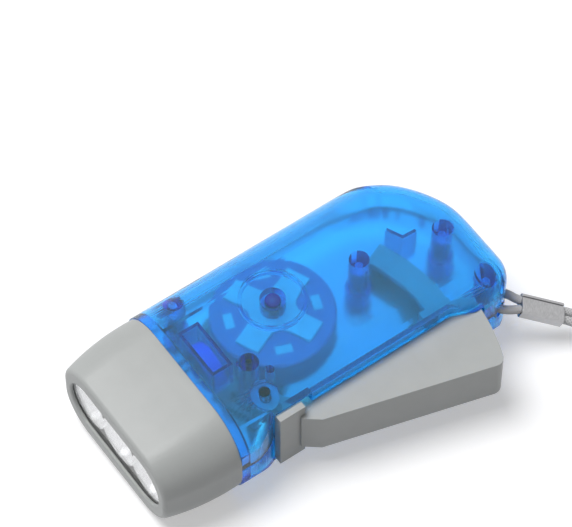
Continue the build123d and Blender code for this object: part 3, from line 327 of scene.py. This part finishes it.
def tint(nodes, links, value, dark, light, start=0.3, end=0.7):
    """Maps a value to a colour between two colours."""
    ramp = nodes.new("ShaderNodeValToRGB")
    ramp.color_ramp.elements[0].position = start
    ramp.color_ramp.elements[1].position = end
    ramp.color_ramp.elements[0].color = (*dark, 1.0)
    ramp.color_ramp.elements[1].color = (*light, 1.0)
    links.new(value, ramp.inputs["Fac"])
    return ramp.outputs["Color"]


def relief(nodes, links, shader, height, depth, strength=1.0):
    """Raises the surface by a height value, depth metres at most."""
    bump = nodes.new("ShaderNodeBump")
    bump.inputs["Strength"].default_value = strength
    bump.inputs["Distance"].default_value = depth
    links.new(height, bump.inputs["Height"])
    links.new(bump.outputs["Normal"], shader.inputs["Normal"])


def shaded(colour, share):
    """A colour made darker or lighter by a share."""
    return tuple(min(1.0, part * share) for part in colour)


def satin_plastic(name, colour, roughness=0.42, grain=2600.0, depth=0.000012):
    """Moulded opaque plastic with a fine spark-eroded grain and slight clouds in its colour."""
    material, nodes, links, shader = new_material(name)
    clouds = noise(nodes, links, 90.0, 3.0)
    tone = tint(nodes, links, clouds, shaded(colour, 0.96), shaded(colour, 1.03))
    links.new(tone, shader.inputs["Base Color"])
    fine = noise(nodes, links, grain, 2.0)
    links.new(spread(nodes, links, fine, roughness - 0.06, roughness + 0.08), shader.inputs["Roughness"])
    shader.inputs["Specular IOR Level"].default_value = 0.4
    relief(nodes, links, shader, fine, depth, 0.6)
    return material


def metal(name, colour, roughness=0.3, stretch=(1.0, 1.0, 12.0), grain=900.0):
    """Worked metal with drawn or turned scratches, stretched along one axis."""
    material, nodes, links, shader = new_material(name)
    place = nodes.new("ShaderNodeTexCoord")
    mapping = nodes.new("ShaderNodeMapping")
    mapping.inputs["Scale"].default_value = stretch
    links.new(place.outputs["Object"], mapping.inputs["Vector"])
    scratches = nodes.new("ShaderNodeTexNoise")
    scratches.inputs["Scale"].default_value = grain
    scratches.inputs["Detail"].default_value = 4.0
    links.new(mapping.outputs["Vector"], scratches.inputs["Vector"])
    value = scratches.outputs["Fac"]
    tone = tint(nodes, links, value, shaded(colour, 0.82), shaded(colour, 1.08))
    links.new(tone, shader.inputs["Base Color"])
    links.new(spread(nodes, links, value, roughness * 0.75, roughness * 1.35), shader.inputs["Roughness"])
    shader.inputs["Metallic"].default_value = 1.0
    relief(nodes, links, shader, value, 0.00001, 0.4)
    return material


def casing_plastic(colours, sizes):
    """Clear blue plastic: satin outside, frosted inside, deeper in colour where it is thick."""
    material, nodes, links, shader = new_material("casing_blue")
    shader.inputs["Base Color"].default_value = (*colours.casing_wall, 1.0)
    shader.inputs["Transmission Weight"].default_value = CASING_CLEARNESS
    shader.inputs["IOR"].default_value = CASING_IOR
    shader.inputs["Specular IOR Level"].default_value = CASING_SPECULAR
    geometry = nodes.new("ShaderNodeNewGeometry")
    outward = nodes.new("ShaderNodeVectorMath")
    outward.operation = "DOT_PRODUCT"
    offset = nodes.new("ShaderNodeVectorMath")
    offset.operation = "SUBTRACT"
    offset.inputs[1].default_value = CASING_HEART
    links.new(geometry.outputs["Position"], offset.inputs[0])
    links.new(geometry.outputs["True Normal"], outward.inputs[0])
    links.new(offset.outputs["Vector"], outward.inputs[1])
    inner = nodes.new("ShaderNodeMath")
    inner.operation = "LESS_THAN"
    inner.inputs[1].default_value = 0.0
    links.new(outward.outputs["Value"], inner.inputs[0])
    frost = spread(nodes, links, inner.outputs["Value"], sizes.casing_skin, sizes.casing_frost)
    waves = noise(nodes, links, 260.0, 2.0)
    rough = nodes.new("ShaderNodeMath")
    rough.operation = "MULTIPLY_ADD"
    rough.inputs[1].default_value = 0.06
    links.new(waves, rough.inputs[0])
    links.new(frost, rough.inputs[2])
    links.new(rough.outputs["Value"], shader.inputs["Roughness"])
    relief(nodes, links, shader, noise(nodes, links, 420.0, 2.0), 0.00002, 0.35)
    absorption = nodes.new("ShaderNodeVolumeAbsorption")
    absorption.inputs["Color"].default_value = (*colours.casing, 1.0)
    absorption.inputs["Density"].default_value = sizes.casing_density
    links.new(absorption.outputs["Volume"], nodes["Material Output"].inputs["Volume"])
    return material


def clear_plastic(name, tone, roughness, ior=1.49):
    """Clear moulded plastic or lamp epoxy with faint flow marks."""
    material, nodes, links, shader = new_material(name)
    flow = noise(nodes, links, 300.0, 2.0)
    links.new(tint(nodes, links, flow, shaded(tone, 0.97), tone), shader.inputs["Base Color"])
    links.new(spread(nodes, links, flow, roughness, roughness + 0.04), shader.inputs["Roughness"])
    shader.inputs["Transmission Weight"].default_value = 1.0
    shader.inputs["IOR"].default_value = ior
    return material


def bright_coating():
    """Vacuum-coated reflector: bright, a little milky, with faint speckle."""
    material, nodes, links, shader = new_material("reflector_coating")
    fine = noise(nodes, links, 700.0, 3.0)
    links.new(tint(nodes, links, fine, (0.90, 0.90, 0.91), (0.98, 0.98, 0.98)), shader.inputs["Base Color"])
    shader.inputs["Metallic"].default_value = 0.12
    shader.inputs["Specular IOR Level"].default_value = 0.8
    links.new(spread(nodes, links, fine, 0.14, 0.26), shader.inputs["Roughness"])
    return material


def braid(colour, length, diameter):
    """Braided cord: two sets of strands wind round it and cross."""
    material, nodes, links, shader = new_material("cord_braid")
    place = nodes.new("ShaderNodeTexCoord")
    split = nodes.new("ShaderNodeSeparateXYZ")
    links.new(place.outputs["UV"], split.inputs["Vector"])
    turns = length / (diameter * 2.2)
    heights = []
    for way in (1.0, -1.0):
        along = nodes.new("ShaderNodeMath")
        along.operation = "MULTIPLY"
        along.inputs[1].default_value = turns * 8.0
        links.new(split.outputs["X"], along.inputs[0])
        around = nodes.new("ShaderNodeMath")
        around.operation = "MULTIPLY_ADD"
        around.inputs[1].default_value = 8.0 * way
        links.new(split.outputs["Y"], around.inputs[0])
        links.new(along.outputs["Value"], around.inputs[2])
        wave = nodes.new("ShaderNodeMath")
        wave.operation = "PINGPONG"
        wave.inputs[1].default_value = 0.5
        links.new(around.outputs["Value"], wave.inputs[0])
        heights.append(wave.outputs["Value"])
    top = nodes.new("ShaderNodeMath")
    top.operation = "MAXIMUM"
    links.new(heights[0], top.inputs[0])
    links.new(heights[1], top.inputs[1])
    # Painted shade and painted light: the colour darkens in the grooves between the strands and brightens on
    # their crowns, following their height.
    links.new(
        tint(nodes, links, top.outputs["Value"], shaded(colour, 0.62), shaded(colour, 1.12), 0.1, 0.45),
        shader.inputs["Base Color"],
    )
    shader.inputs["Roughness"].default_value = 0.8
    shader.inputs["Sheen Weight"].default_value = 0.35
    shader.inputs["Sheen Roughness"].default_value = 0.4
    relief(nodes, links, shader, top.outputs["Value"], 0.00012, 0.8)
    return material


def banded(name, dark, light, pitch, roughness=0.35, metallic=0.6):
    """Fine wire wound in layers: bright copper turns, with painted shade as dark lines in the grooves
    between them.
    """
    material, nodes, links, shader = new_material(name)
    place = nodes.new("ShaderNodeTexCoord")
    wave = nodes.new("ShaderNodeTexWave")
    wave.bands_direction = "Z"
    wave.inputs["Scale"].default_value = 0.314 / pitch
    wave.inputs["Distortion"].default_value = 0.6
    links.new(place.outputs["Object"], wave.inputs["Vector"])
    # The dark colour is painted shade in the grooves between the turns; the light colour is the copper's
    # own.
    links.new(tint(nodes, links, wave.outputs["Fac"], dark, light, 0.1, 0.8), shader.inputs["Base Color"])
    shader.inputs["Metallic"].default_value = metallic
    shader.inputs["Roughness"].default_value = roughness
    relief(nodes, links, shader, wave.outputs["Fac"], 0.0001, 0.8)
    return material


def laminate():
    """Circuit laminate with copper traces under its green lacquer."""
    material, nodes, links, shader = new_material("board_laminate")
    place = nodes.new("ShaderNodeTexCoord")
    traces = nodes.new("ShaderNodeTexBrick")
    traces.inputs["Scale"].default_value = 420.0
    traces.inputs["Mortar Size"].default_value = 0.12
    traces.inputs["Color1"].default_value = (0.02, 0.14, 0.06, 1.0)
    traces.inputs["Color2"].default_value = (0.03, 0.18, 0.08, 1.0)
    traces.inputs["Mortar"].default_value = (0.10, 0.36, 0.14, 1.0)
    turn = nodes.new("ShaderNodeMapping")
    turn.inputs["Rotation"].default_value = (math.radians(90), 0.0, 0.0)
    links.new(place.outputs["Object"], turn.inputs["Vector"])
    links.new(turn.outputs["Vector"], traces.inputs["Vector"])
    links.new(traces.outputs["Color"], shader.inputs["Base Color"])
    shader.inputs["Roughness"].default_value = 0.35
    relief(nodes, links, shader, traces.outputs["Fac"], 0.00003, 0.5)
    return material


# ---------------------------------------------------------------- wrist cord's line, in millimetres
CORD_BAR = Vector((22.8, 50.9, 15.2))
CORD_WAY = Vector((6.6, 8.9, -4.4)).normalized()
CORD_FLAT = Vector((CORD_WAY.x, CORD_WAY.y, 0.0)).normalized()
CORD_SIDE = Vector((-CORD_FLAT.y, CORD_FLAT.x, 0.0))
STRAND_ASIDE = 1.3
BAR_BEND = 2.55
BAR_TURNS = (60, 120, 180, 240, 300)
CRIMP_START = 5.0
CRIMP_END = 17.0
PAST_CRIMP = 6.5
COIL_NEAR = 2.4
COIL_FAR = 11.4
COIL_RADIUS = 14.6
COIL_SPACING = 2.9
COIL_FLOOR = 1.8
COIL_REACH = 30.0
COIL_LEAN = math.asin(COIL_RADIUS / COIL_REACH)
COIL_TURNS = 2.5 + COIL_LEAN / math.pi
COIL_POINTS = 32


def cord_place(along, aside):
    """A point beside the crimp's line, from the bar in the tail's corner."""
    return CORD_BAR + CORD_WAY * along + CORD_SIDE * aside


def coil_place(turn, wide=1.0):
    """A point of the coil: it winds in on the floor, climbs in its middle and winds out on top."""
    middle = COIL_TURNS / 2
    radius = (COIL_RADIUS - COIL_SPACING * (middle - abs(turn - middle))) * wide
    climb = min(max((turn - middle) * 2 + 0.5, 0.0), 1.0)
    lift = climb * climb * (3 - 2 * climb)
    heading = math.atan2(CORD_WAY.y, CORD_WAY.x) + math.pi / 2 + COIL_LEAN - 2 * math.pi * turn
    centre = CORD_BAR + CORD_FLAT * (CRIMP_END + COIL_REACH)
    return Vector((
        centre.x + radius * math.cos(heading),
        centre.y + radius * math.sin(heading),
        COIL_FLOOR + COIL_SPACING * lift,
    ))


def coil_way(turn):
    """The coil's heading at one of its ends."""
    step = 0.001
    low = max(turn - step, 0.0)
    high = min(turn + step, COIL_TURNS)
    return (coil_place(high) - coil_place(low)).normalized()


def cord_points():
    """Control points of the cord: round the bar, through the crimp, out to the coil and back."""
    bend = BAR_BEND / math.cos(math.radians(30))
    points = [cord_place(CRIMP_START, -STRAND_ASIDE)]
    for turn in BAR_TURNS:
        angle = math.radians(-turn)
        points.append(cord_place(bend * math.cos(angle), bend * math.sin(angle)))
    points += [cord_place(CRIMP_START, STRAND_ASIDE), cord_place(CRIMP_END, STRAND_ASIDE)]
    points.append(cord_place(CRIMP_END + PAST_CRIMP, STRAND_ASIDE))
    way_out = coil_way(0.0)
    level_out = coil_place(0.0) - way_out * COIL_FAR
    points += [Vector((level_out.x, level_out.y, COIL_FLOOR)), coil_place(0.0) - way_out * COIL_NEAR]
    wide = 1 / math.cos(math.pi * COIL_TURNS / COIL_POINTS)
    for step in range(COIL_POINTS):
        points.append(coil_place((step + 0.5) * COIL_TURNS / COIL_POINTS, wide))
    way_back = coil_way(COIL_TURNS)
    points += [coil_place(COIL_TURNS) + way_back * COIL_NEAR, coil_place(COIL_TURNS) + way_back * COIL_FAR]
    points += [cord_place(CRIMP_END + PAST_CRIMP, -STRAND_ASIDE), cord_place(CRIMP_END, -STRAND_ASIDE)]
    return points


# ---------------------------------------------------------------- operators, one for each piece or group
class Step(bpy.types.Operator):
    """Shared by the operators of this file."""

    bl_options = {"REGISTER", "UNDO"}

    @property
    def colours(self):
        """The colours that a user may change."""
        return bpy.context.scene.torch_colours

    @property
    def sizes(self):
        """The sizes that a user may change."""
        return bpy.context.scene.torch_sizes

    @property
    def studio(self):
        """The camera's and the light's settings."""
        return bpy.context.scene.torch_studio


class TORCH_OT_camera(Step):
    """Sets up the camera of the picture"""

    bl_idname = "torch.camera"
    bl_label = "Camera"

    def execute(self, context):
        target = Vector(self.studio.look_at)
        lens = bpy.data.cameras.new("camera")
        lens.lens = self.studio.focal_length
        lens.sensor_width = 36.0
        lens.clip_start = 0.01
        camera = bpy.data.objects.new("camera", lens)
        camera.location = target + CAMERA_WAY * self.studio.camera_distance
        camera.rotation_euler = (-CAMERA_WAY).to_track_quat("-Z", "Y").to_euler()
        context.scene.collection.objects.link(camera)
        context.scene.camera = camera
        return {"FINISHED"}


class TORCH_OT_wrist_cord(Step):
    """Lays the braided wrist cord from the tail's bar through the crimp to its coil"""

    bl_idname = "torch.wrist_cord"
    bl_label = "Wrist cord"

    def execute(self, context):
        line = bpy.data.curves.new("wrist_cord", "CURVE")
        line.dimensions = "3D"
        spline = line.splines.new("NURBS")
        points = cord_points()
        spline.points.add(len(points) - 1)
        for knot, place in zip(spline.points, points):
            knot.co = (*(place * MM), 1.0)
        spline.order_u = 3
        spline.use_endpoint_u = True
        spline.resolution_u = 8
        line.bevel_depth = self.sizes.cord_diameter / 2
        line.bevel_resolution = 5
        line.use_fill_caps = True
        cord = bpy.data.objects.new("wrist_cord", line)
        context.scene.collection.objects.link(cord)
        finish = braid(self.colours.cord, self.sizes.cord_length, self.sizes.cord_diameter)
        line.materials.append(finish)
        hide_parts("lanyard_loop", "lanyard_strand_out", "lanyard_coil", "lanyard_strand_back")
        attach(cord, "casing")
        return {"FINISHED"}


class TORCH_OT_casing(Step):
    """Finishes the two halves of the see-through casing"""

    bl_idname = "torch.casing"
    bl_label = "Casing"

    def execute(self, context):
        plastic = casing_plastic(self.colours, self.sizes)
        for node in ("upper_shell", "lower_shell"):
            piece = merged_copy(node)
            put(piece, node.replace("shell", "half"), "casing", plastic, 28.0)
        return {"FINISHED"}


class TORCH_OT_head(Step):
    """Finishes the head and its clear lens"""

    bl_idname = "torch.head"
    bl_label = "Head and lens"

    def execute(self, context):
        grey = satin_plastic("grey_satin", self.colours.grey)
        head = merged_copy("head_bezel")
        bevel(head, 0.22 * MM, 2, 60.0)
        put(head, "head_rim", "casing", grey, 30.0)
        lens = merged_copy("front_lens")
        bevel(lens, 0.2 * MM)
        clear = clear_plastic("lens_clear", (0.98, 0.99, 1.0), 0.01)
        put(lens, "lens_plate", "casing", clear)
        return {"FINISHED"}


class TORCH_OT_reflector(Step):
    """Adds the three facetted cups of the reflector"""

    bl_idname = "torch.reflector"
    bl_label = "Reflector"

    def execute(self, context):
        coating = bright_coating()
        finish_node("reflector", coating)
        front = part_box("reflector")[0].y
        for number in (1, 2, 3):
            low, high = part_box(f"lamp_{number}")
            self.cup((low.x + high.x) / 2, front, number, coating)
        return {"FINISHED"}

    def cup(self, x, front, number, coating):
        """One cup: a ring drawn inwards ring by ring, each turned by half a facet, cut where cups meet."""
        facets = self.sizes.cup_facets
        bpy.ops.object.select_all(action="DESELECT")
        bpy.ops.mesh.primitive_circle_add(
            vertices=facets, radius=self.sizes.cup_radius, fill_type="NOTHING",
            location=(x, front + CUP_PROUD, MID_Z), rotation=(math.radians(90), 0.0, 0.0),
        )
        piece = bpy.context.object
        settle(piece)
        centre = (x, front, MID_Z)
        with edit(piece, "EDGE"):
            bpy.ops.mesh.select_all(action="SELECT")
            for before, after in zip(CUP_RINGS, CUP_RINGS[1:]):
                bpy.ops.mesh.extrude_edges_move(
                    TRANSFORM_OT_translate={"value": (0.0, (after[1] - before[1]) * MM, 0.0)}
                )
                share = after[0] / before[0]
                bpy.ops.transform.resize(value=(share, 1.0, share), center_override=centre)
                bpy.ops.transform.rotate(
                    value=math.pi / facets, orient_axis="Y", center_override=centre
                )
            bpy.ops.mesh.select_all(action="SELECT")
            bpy.ops.mesh.quads_convert_to_tris(quad_method="SHORTEST_DIAGONAL")
            bpy.ops.mesh.normals_make_consistent(inside=True)
            for side in (-1, 1):
                bpy.ops.mesh.select_all(action="SELECT")
                bpy.ops.mesh.bisect(
                    plane_co=(x + side * self.sizes.cup_pitch / 2, front, MID_Z),
                    plane_no=(side, 0.0, 0.0), clear_outer=True,
                )
        wall = piece.modifiers.new("Wall", "SOLIDIFY")
        wall.thickness = CUP_WALL
        wall.offset = -1.0
        bpy.ops.object.modifier_apply(modifier=wall.name)
        put(piece, f"reflector_cup_{number}", "casing", coating, 0)


class TORCH_OT_lamps(Step):
    """Adds the three lamps: clear body, frame of two posts and the yellow chip"""

    bl_idname = "torch.lamps"
    bl_label = "Lamps"

    def execute(self, context):
        epoxy = clear_plastic("lamp_epoxy", (0.97, 0.98, 1.0), 0.02, 1.45)
        steel = metal("lamp_frame", (0.72, 0.72, 0.72), 0.25)
        chip = satin_plastic("lamp_chip", (0.85, 0.74, 0.22), 0.5)
        for number in (1, 2, 3):
            node = f"lamp_{number}"
            body = merged_copy(node)
            put(body, f"lamp_body_{number}", "casing", epoxy, 50.0)
            low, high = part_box(node)
            self.frame_of((low.x + high.x) / 2, low.y, number, steel, chip)
        return {"FINISHED"}

    def frame_of(self, x, tip, number, steel, chip):
        """The two posts that widen towards the tip, and the chip that sits between their heads."""
        for side in (-1, 1):
            bpy.ops.object.select_all(action="DESELECT")
            place = (x + side * POST_ASIDE, tip + POST_MIDDLE, MID_Z)
            bpy.ops.mesh.primitive_cube_add(size=1.0, location=place)
            post = bpy.context.object
            post.scale = POST_SIZE
            settle(post)
            with edit(post):
                pick_faces(post, lambda at, way: way.y < -0.9)
                bpy.ops.transform.resize(value=(1.8, 1.0, 1.8))
                bpy.ops.mesh.extrude_region_move(TRANSFORM_OT_translate={"value": (0.0, -POST_HEAD, 0.0)})
                bpy.ops.transform.resize(value=(0.8, 1.0, 0.8))
            bevel(post, 0.06 * MM, 1)
            hand = "left" if side < 0 else "right"
            put(post, f"lamp_post_{hand}_{number}", "casing", steel)
        bpy.ops.object.select_all(action="DESELECT")
        bpy.ops.mesh.primitive_uv_sphere_add(
            segments=16, ring_count=8, radius=CHIP_RADIUS, location=(x, tip + CHIP_MIDDLE, MID_Z)
        )
        dot = bpy.context.object
        dot.scale = (1.0, 0.5, 1.0)
        put(dot, f"lamp_chip_{number}", "casing", chip)


class TORCH_OT_lever(Step):
    """Finishes the squeeze lever"""

    bl_idname = "torch.lever"
    bl_label = "Lever"

    def execute(self, context):
        grey = bpy.data.materials.get("grey_satin") or satin_plastic("grey_satin", self.colours.grey)
        lever = merged_copy("lever")
        bevel(lever, 0.15 * MM, 2, 60.0)
        put(lever, "squeeze_lever", "lever", grey, 30.0)
        steel = metal("drawn_steel", (0.6, 0.6, 0.61), 0.28)
        for node in ("lever_pivot_pin", "drive_pin", "compound_gear_pin", "shell_screws"):
            finish_node(node, steel)
        return {"FINISHED"}


class TORCH_OT_spring(Step):
    """Finishes the return spring and puts its place into its mesh"""

    bl_idname = "torch.spring"
    bl_label = "Return spring"

    def execute(self, context):
        spring = merged_copy("return_spring")
        spring.name = spring.data.name = "torsion_spring"
        spring.data.materials.clear()
        spring.data.materials.append(metal("spring_steel", (0.55, 0.55, 0.57), 0.28))
        only(spring)
        bpy.ops.object.shade_smooth_by_angle(angle=math.radians(50))
        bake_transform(spring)
        return {"FINISHED"}


class TORCH_OT_flywheel(Step):
    """Finishes the flywheel, its hub, its magnet and its axle"""

    bl_idname = "torch.flywheel"
    bl_label = "Flywheel"

    def execute(self, context):
        white = satin_plastic("hub_plastic", self.colours.hub, 0.35)
        dark = satin_plastic("flywheel_plastic", self.colours.flywheel, 0.4)
        for node, name, slot, material in (
            ("flywheel", "flywheel_disc", "flywheel_dark", dark),
            ("flywheel_hub", "hub_spider", "hub_white", white),
        ):
            piece = merged_copy(node)
            bevel(piece, 0.18 * MM, 2, 40.0)
            put(piece, name, "flywheel", material)
        finish_node("magnet_ring", metal("sintered_magnet", (0.08, 0.08, 0.085), 0.5))
        finish_node("flywheel_axle", metal("axle_steel", (0.55, 0.55, 0.57), 0.25))
        for node in ("flywheel_pinion", "drive_pinion", "clutch_wheel", "compound_gear"):
            finish_node(node, white)
        for node in ("upper_bush", "lower_bush"):
            finish_node(node, metal("dark_bronze", (0.16, 0.08, 0.12), 0.3))
        return {"FINISHED"}


class TORCH_OT_bearing(Step):
    """Adds the dark domed cap that closes the bearing over the flywheel"""

    bl_idname = "torch.bearing"
    bl_label = "Bearing cap"

    def execute(self, context):
        low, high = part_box("upper_bush")
        middle = (low + high) / 2
        radius = (high.x - low.x) / 2 - CAP_CLEARANCE
        bpy.ops.object.select_all(action="DESELECT")
        bpy.ops.mesh.primitive_cylinder_add(
            vertices=32, radius=radius, depth=CAP_SKIRT, location=(middle.x, middle.y, high.z + CAP_LIFT)
        )
        cap = bpy.context.object
        settle(cap)
        with edit(cap):
            pick_faces(cap, lambda at, way: way.z > 0.9)
            for turn in CAP_TURNS:
                here = math.radians(turn)
                before = math.radians(turn - CAP_STEP)
                rise = (math.sin(here) - math.sin(before)) * CAP_DOME
                bpy.ops.mesh.extrude_region_move(TRANSFORM_OT_translate={"value": (0.0, 0.0, rise)})
                share = math.cos(here) / math.cos(before)
                bpy.ops.transform.resize(value=(share, share, 1.0))
        violet = satin_plastic("cap_violet", (0.70, 0.03, 0.30), 0.22)
        put(cap, "bearing_cap", "casing", violet, 60.0)
        return {"FINISHED"}


class TORCH_OT_dynamo(Step):
    """Finishes the stator, the coil and the parts on the board"""

    bl_idname = "torch.dynamo"
    bl_label = "Dynamo and electrics"

    def execute(self, context):
        pressed = metal("pressed_steel", (0.50, 0.40, 0.74), 0.38)
        for node in ("stator_lower", "stator_upper", "gear_plate"):
            finish_node(node, pressed)
        finish_node("coil_bobbin", satin_plastic("bobbin_plastic", (0.5, 0.5, 0.46), 0.45))
        # The first, dark colour is painted shade between the copper turns.
        finish_node("coil_winding", banded("copper_turns", (0.2, 0.07, 0.03), (0.78, 0.36, 0.17), 0.0003))
        finish_node("lamp_board", laminate())
        finish_node("rectifier", satin_plastic("black_mould", (0.03, 0.03, 0.03), 0.4))
        cell = merged_copy("storage_cell")
        sleeve = satin_plastic("cell_sleeve", (0.24, 0.10, 0.85), 0.3)
        put(cell, "sleeved_cell", "casing", sleeve)
        finish_node("cell_leads", metal("tinned_leads", (0.68, 0.68, 0.68), 0.3))
        finish_node("coil_wire_red", satin_plastic("wire_red_cover", (0.6, 0.03, 0.03), 0.35))
        finish_node("coil_wire_black", satin_plastic("wire_black_cover", (0.02, 0.02, 0.02), 0.35))
        return {"FINISHED"}


class TORCH_OT_crimp(Step):
    """Finishes the folded crimp and the tie of the coil"""

    bl_idname = "torch.crimp"
    bl_label = "Crimp and tie"

    def execute(self, context):
        crimp = merged_copy("lanyard_crimp")
        bevel(crimp, 0.12 * MM, 2, 50.0)
        sheet = metal("crimp_sheet", self.colours.crimp, 0.32)
        put(crimp, "cord_crimp", "casing", sheet)
        tie = merged_copy("lanyard_tie")
        bevel(tie, 0.1 * MM, 2, 50.0)
        band = satin_plastic("tie_plastic", (0.03, 0.03, 0.03), 0.4)
        put(tie, "cord_tie", "casing", band)
        return {"FINISHED"}


class TORCH_OT_studio(Step):
    """Sets the pale floor, the white room and the large overhead light"""

    bl_idname = "torch.studio"
    bl_label = "Studio"

    def execute(self, context):
        bpy.ops.object.select_all(action="DESELECT")
        bpy.ops.mesh.primitive_plane_add(size=FLOOR_SIZE, location=(0.0, 0.0, CAD_BOX[0][2] - FLOOR_DROP))
        floor = bpy.context.object
        floor.name = "floor"
        floor.data.materials.append(self.paper())
        self.room(context.scene)
        self.lamp(context, "overhead", OVERHEAD_PLACE, OVERHEAD_SIZE, self.studio.key_power)
        context.scene.view_settings.view_transform = "Standard"
        return {"FINISHED"}

    def seen(self, nodes, links):
        """1 where the ray comes from the camera, a gloss or through something clear."""
        path = nodes.new("ShaderNodeLightPath")
        first = nodes.new("ShaderNodeMath")
        first.operation = "MAXIMUM"
        second = nodes.new("ShaderNodeMath")
        second.operation = "MAXIMUM"
        links.new(path.outputs["Is Camera Ray"], first.inputs[0])
        links.new(path.outputs["Is Glossy Ray"], first.inputs[1])
        links.new(first.outputs["Value"], second.inputs[0])
        links.new(path.outputs["Is Transmission Ray"], second.inputs[1])
        return second.outputs["Value"]

    def paper(self):
        """White paper for the floor, which glows a little where it is seen and keeps the shadow."""
        material, nodes, links, shader = new_material("floor_paper")
        grain = noise(nodes, links, 60.0, 3.0)
        colour = tuple(self.studio.floor)
        tone = tint(nodes, links, grain, shaded(colour, 0.995), shaded(colour, 1.005))
        links.new(tone, shader.inputs["Base Color"])
        shader.inputs["Roughness"].default_value = 0.9
        shader.inputs["Specular IOR Level"].default_value = 0.1
        shader.inputs["Emission Color"].default_value = (1.0, 1.0, 1.0, 1.0)
        path = nodes.new("ShaderNodeLightPath")
        through = nodes.new("ShaderNodeMath")
        through.operation = "MULTIPLY_ADD"
        through.inputs[1].default_value = FLOOR_GLOW_THROUGH
        links.new(path.outputs["Is Transmission Ray"], through.inputs[0])
        links.new(spread(nodes, links, self.seen(nodes, links), 0.0, FLOOR_GLOW), through.inputs[2])
        links.new(through.outputs["Value"], shader.inputs["Emission Strength"])
        return material

    def room(self, scene):
        """A white room that lights the object more softly than it looks."""
        world = scene.world or bpy.data.worlds.new("room")
        scene.world = world
        world.use_nodes = True
        nodes = world.node_tree.nodes
        links = world.node_tree.links
        background = nodes["Background"]
        background.inputs["Color"].default_value = (1.0, 1.0, 1.0, 1.0)
        strength = spread(nodes, links, self.seen(nodes, links), self.studio.sky, 1.0)
        links.new(strength, background.inputs["Strength"])

    def lamp(self, context, name, place, size, power):
        """A round soft light that faces the object."""
        light = bpy.data.lights.new(name, "AREA")
        light.shape = "DISK"
        light.size = size
        light.energy = power
        lamp = bpy.data.objects.new(name, light)
        lamp.location = place
        lamp.rotation_euler = (-Vector(place)).to_track_quat("-Z", "Y").to_euler()
        context.scene.collection.objects.link(lamp)


class TORCH_PT_panel(bpy.types.Panel):
    """Lists the steps and what may be changed"""

    bl_idname = "TORCH_PT_panel"
    bl_label = "Hand press torch"
    bl_space_type = "VIEW_3D"
    bl_region_type = "UI"
    bl_category = "Torch"

    def draw(self, context):
        for step in STEPS:
            self.layout.operator(step.bl_idname)
        for group in (context.scene.torch_colours, context.scene.torch_sizes, context.scene.torch_studio):
            box = self.layout.box()
            for name in group.bl_rna.properties.keys():
                if name not in ("rna_type", "name"):
                    box.prop(group, name)


GROUPS = (TorchColours, TorchSizes, TorchStudio)
STEPS = (
    TORCH_OT_camera, TORCH_OT_crimp, TORCH_OT_wrist_cord, TORCH_OT_casing, TORCH_OT_head,
    TORCH_OT_reflector, TORCH_OT_lamps, TORCH_OT_lever, TORCH_OT_spring, TORCH_OT_flywheel,
    TORCH_OT_bearing, TORCH_OT_dynamo, TORCH_OT_studio,
)


def register():
    """Registers the settings, the steps and the panel."""
    for each in (*GROUPS, *STEPS, TORCH_PT_panel):
        bpy.utils.register_class(each)
    bpy.types.Scene.torch_colours = bpy.props.PointerProperty(type=TorchColours)
    bpy.types.Scene.torch_sizes = bpy.props.PointerProperty(type=TorchSizes)
    bpy.types.Scene.torch_studio = bpy.props.PointerProperty(type=TorchStudio)


def unregister():
    """Takes back what register() did."""
    del bpy.types.Scene.torch_studio
    del bpy.types.Scene.torch_sizes
    del bpy.types.Scene.torch_colours
    for each in reversed((*GROUPS, *STEPS, TORCH_PT_panel)):
        bpy.utils.unregister_class(each)


def main():
    """Makes every piece in order."""
    register()
    bpy.ops.torch.camera()
    bpy.ops.torch.crimp()
    bpy.ops.torch.wrist_cord()
    bpy.ops.torch.casing()
    bpy.ops.torch.head()
    bpy.ops.torch.reflector()
    bpy.ops.torch.lamps()
    bpy.ops.torch.lever()
    bpy.ops.torch.spring()
    bpy.ops.torch.flywheel()
    bpy.ops.torch.bearing()
    bpy.ops.torch.dynamo()
    bpy.ops.torch.studio()


if __name__ == "__main__":
    main()
